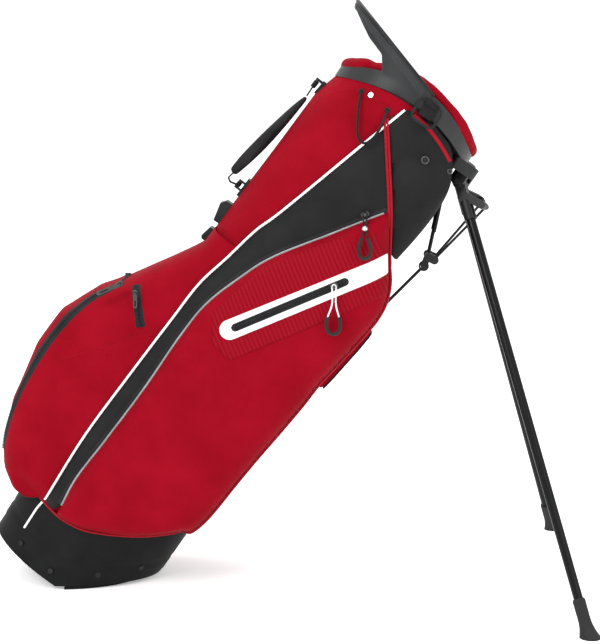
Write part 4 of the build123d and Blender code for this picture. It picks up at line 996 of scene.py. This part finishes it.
def pad_block(name, inner, outer, middle, half, material, rows=22, around=32):
    """A soft block between an inner and an outer (c, t) line, rounded at its edges and ends."""
    vertices = []
    for i in range(rows + 1):
        share = i / rows
        end = (1 - abs(2 * share - 1) ** 6) ** (1 / 6)
        at_inner = inner[0] + (inner[1] - inner[0]) * share
        place = [np.interp(share, np.linspace(0, 1, len(outer)), outer[:, k]) for k in (0, 1)]
        centre, reach = (at_inner + place) / 2, (place - at_inner) / 2 * (0.55 + 0.45 * end)
        for k in range(around):
            a = 2 * math.pi * k / around
            x, y = signed_power(math.cos(a), 0.45), signed_power(math.sin(a), 0.45)
            c, t = centre + reach * x
            vertices.append(bag(c, middle + half * (0.8 + 0.2 * end) * y, t))
    faces = ring_faces(rows + 1, around) + end_caps(rows + 1, around)
    obj = finish_mesh(name, vertices, faces, material, "bag")
    fix_normals(obj)
    return obj


HIP_IN = np.array([(150, 477), (163, 598)], float)
HIP_OUT = np.array([(159, 478), (162.5, 503), (165.5, 530), (169, 560), (171.5, 592)], float)
HIP_FACE = np.array([(161.5, 478), (165, 503), (168, 530), (171.5, 560), (174, 592)], float)
hip = pad_block("hip_pad_cloth", HIP_IN, HIP_OUT, 0, 22.5, "red")
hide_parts("hip_pad")
pad_block("hip_pad_mesh", HIP_OUT[[0, -1]] - (1.0, 0), HIP_FACE, 0, 21.5, "mesh")
for side, name in SIDES:
    pad_block(f"hip_web_{name}", np.array([(100, 489), (100, 592)], float),
              np.array([(153, 482), (164, 596)], float), side * 13.5, 4.5, "webbing", 8, 16)
grip = copy_of_node("handle_pad", "carry_grip", "mesh", "carry_handle")
inflate(grip, 3.0, 5.0, 3.0)

# ---------------------------------------------------------------- cords
SLIDER_HEIGHT = 1.6 + 7.5 - 1.9          # tape, stud, and the cord's seat under the stud's head


def slider_stud(start, end, share, face):
    """Where a pull hangs: on the stud of a slider at this share of its zipper, over a face at |y|."""
    start, end = np.array(start, float), np.array(end, float)
    along = (end - start) / np.linalg.norm(end - start)
    spot = start + along * (share * np.linalg.norm(end - start) + 3)
    return bag(spot[0], -(face + SLIDER_HEIGHT), spot[1])


STUDS = {"welt": slider_stud((-12, 497), (104, 680), 0.745, 140),
         "pocket": slider_stud((58, 752), (20, 699), 0.06, 106)}
PULL_ROUTE = {
    "welt": [(-9.5, -45, 0), (-5, -34, 0), (-2.2, -24, 0), (-2.8, -6, 0), (-2.6, 3, 0), (2.6, 3, 0),
             (2.9, -6, 0), (2.2, -24, 0), (4.2, -34, 0), (7.5, -45, 0)],
    "pocket": [(-4.4, -32, 31), (-2.4, -25, 20.5), (-1.9, -15, 9.6), (-2.8, -4, 1.4), (-2.6, 3, 0),
               (2.6, 3, 0), (2.9, -4, 1.4), (2.1, -15, 9.6), (2.5, -25, 20.5), (4.6, -32, 31)],
}
GRIP_ROUTE = {
    "welt": [(-9.5, -45, 0), (-12.5, -57, 0), (-8, -70, 0), (5, -71, 0), (10.5, -58, 0), (7.5, -45, 0)],
    "pocket": [(-4.4, -32, 31), (-10, -47, 32.6), (-7, -62, 32.6), (7, -62, 32.6),
               (10, -47, 32.6), (4.6, -32, 31)],
}
CORD_LOOK = {"welt": "white_cord", "pocket": "black_cord"}
for name, stud in STUDS.items():
    body, look = f"{name}_slider", CORD_LOOK[name]
    loop = nurbs(f"{name}_pull_grip", [stud + Vector((x, -out, up)) * MM for x, up, out in GRIP_ROUTE[name]],
                 5.4, "rubber", body)
    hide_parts(f"pull_grip_{name}")
    points = [stud + Vector((x, -out, up)) * MM for x, up, out in PULL_ROUTE[name]]
    cord = nurbs(f"{name}_pull_cord", points, 2.4, look, body)
    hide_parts(f"pull_cord_{name}")
LOOP = [(-53, -85, 890), (-46, -97, 874), (-32, -104, 850), (-19, -108, 832), (-6, -111, 829),
        (1, -111, 846), (0, -106, 868), (-6, -100, 890)]
elastic = nurbs("towel_elastic", [bag(*p) for p in LOOP], 3.6, "black_cord", "bag")
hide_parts("elastic_loop")

# ---------------------------------------------------------------- finishes of the CAD nodes
paint("boot", "base_boot", "foot_plate", "sole_plate")
paint("plastic", "base_screws")
paint("steel_dark", "foot_hinge_pin", "actuator_pin", "hub_pins", "link_pin_near", "link_pin_far")
paint("fibre", "stay_rods")
paint("cuff", "cuff_collar", "cuff_ring", "lift_handle", "hub_block")
paint("plastic", "divider_top", "handle_buckles", "strap_fittings", "connector", "loop_eyelets", "d_ring",
      "leg_head_near", "leg_head_far")
paint("steel", "cuff_snaps", "pull_bead")
paint("tube_paint", "leg_tube_near", "leg_tube_far", "strut_sleeves")
paint("wire", "strut_rods", "link_rod_near", "link_rod_far", "actuator_rod")
paint("rubber", "leg_foot_near", "leg_foot_far")
paint("steel_dark", "slider_welt", "slider_pocket", "slider_ball", "slider_accessory")
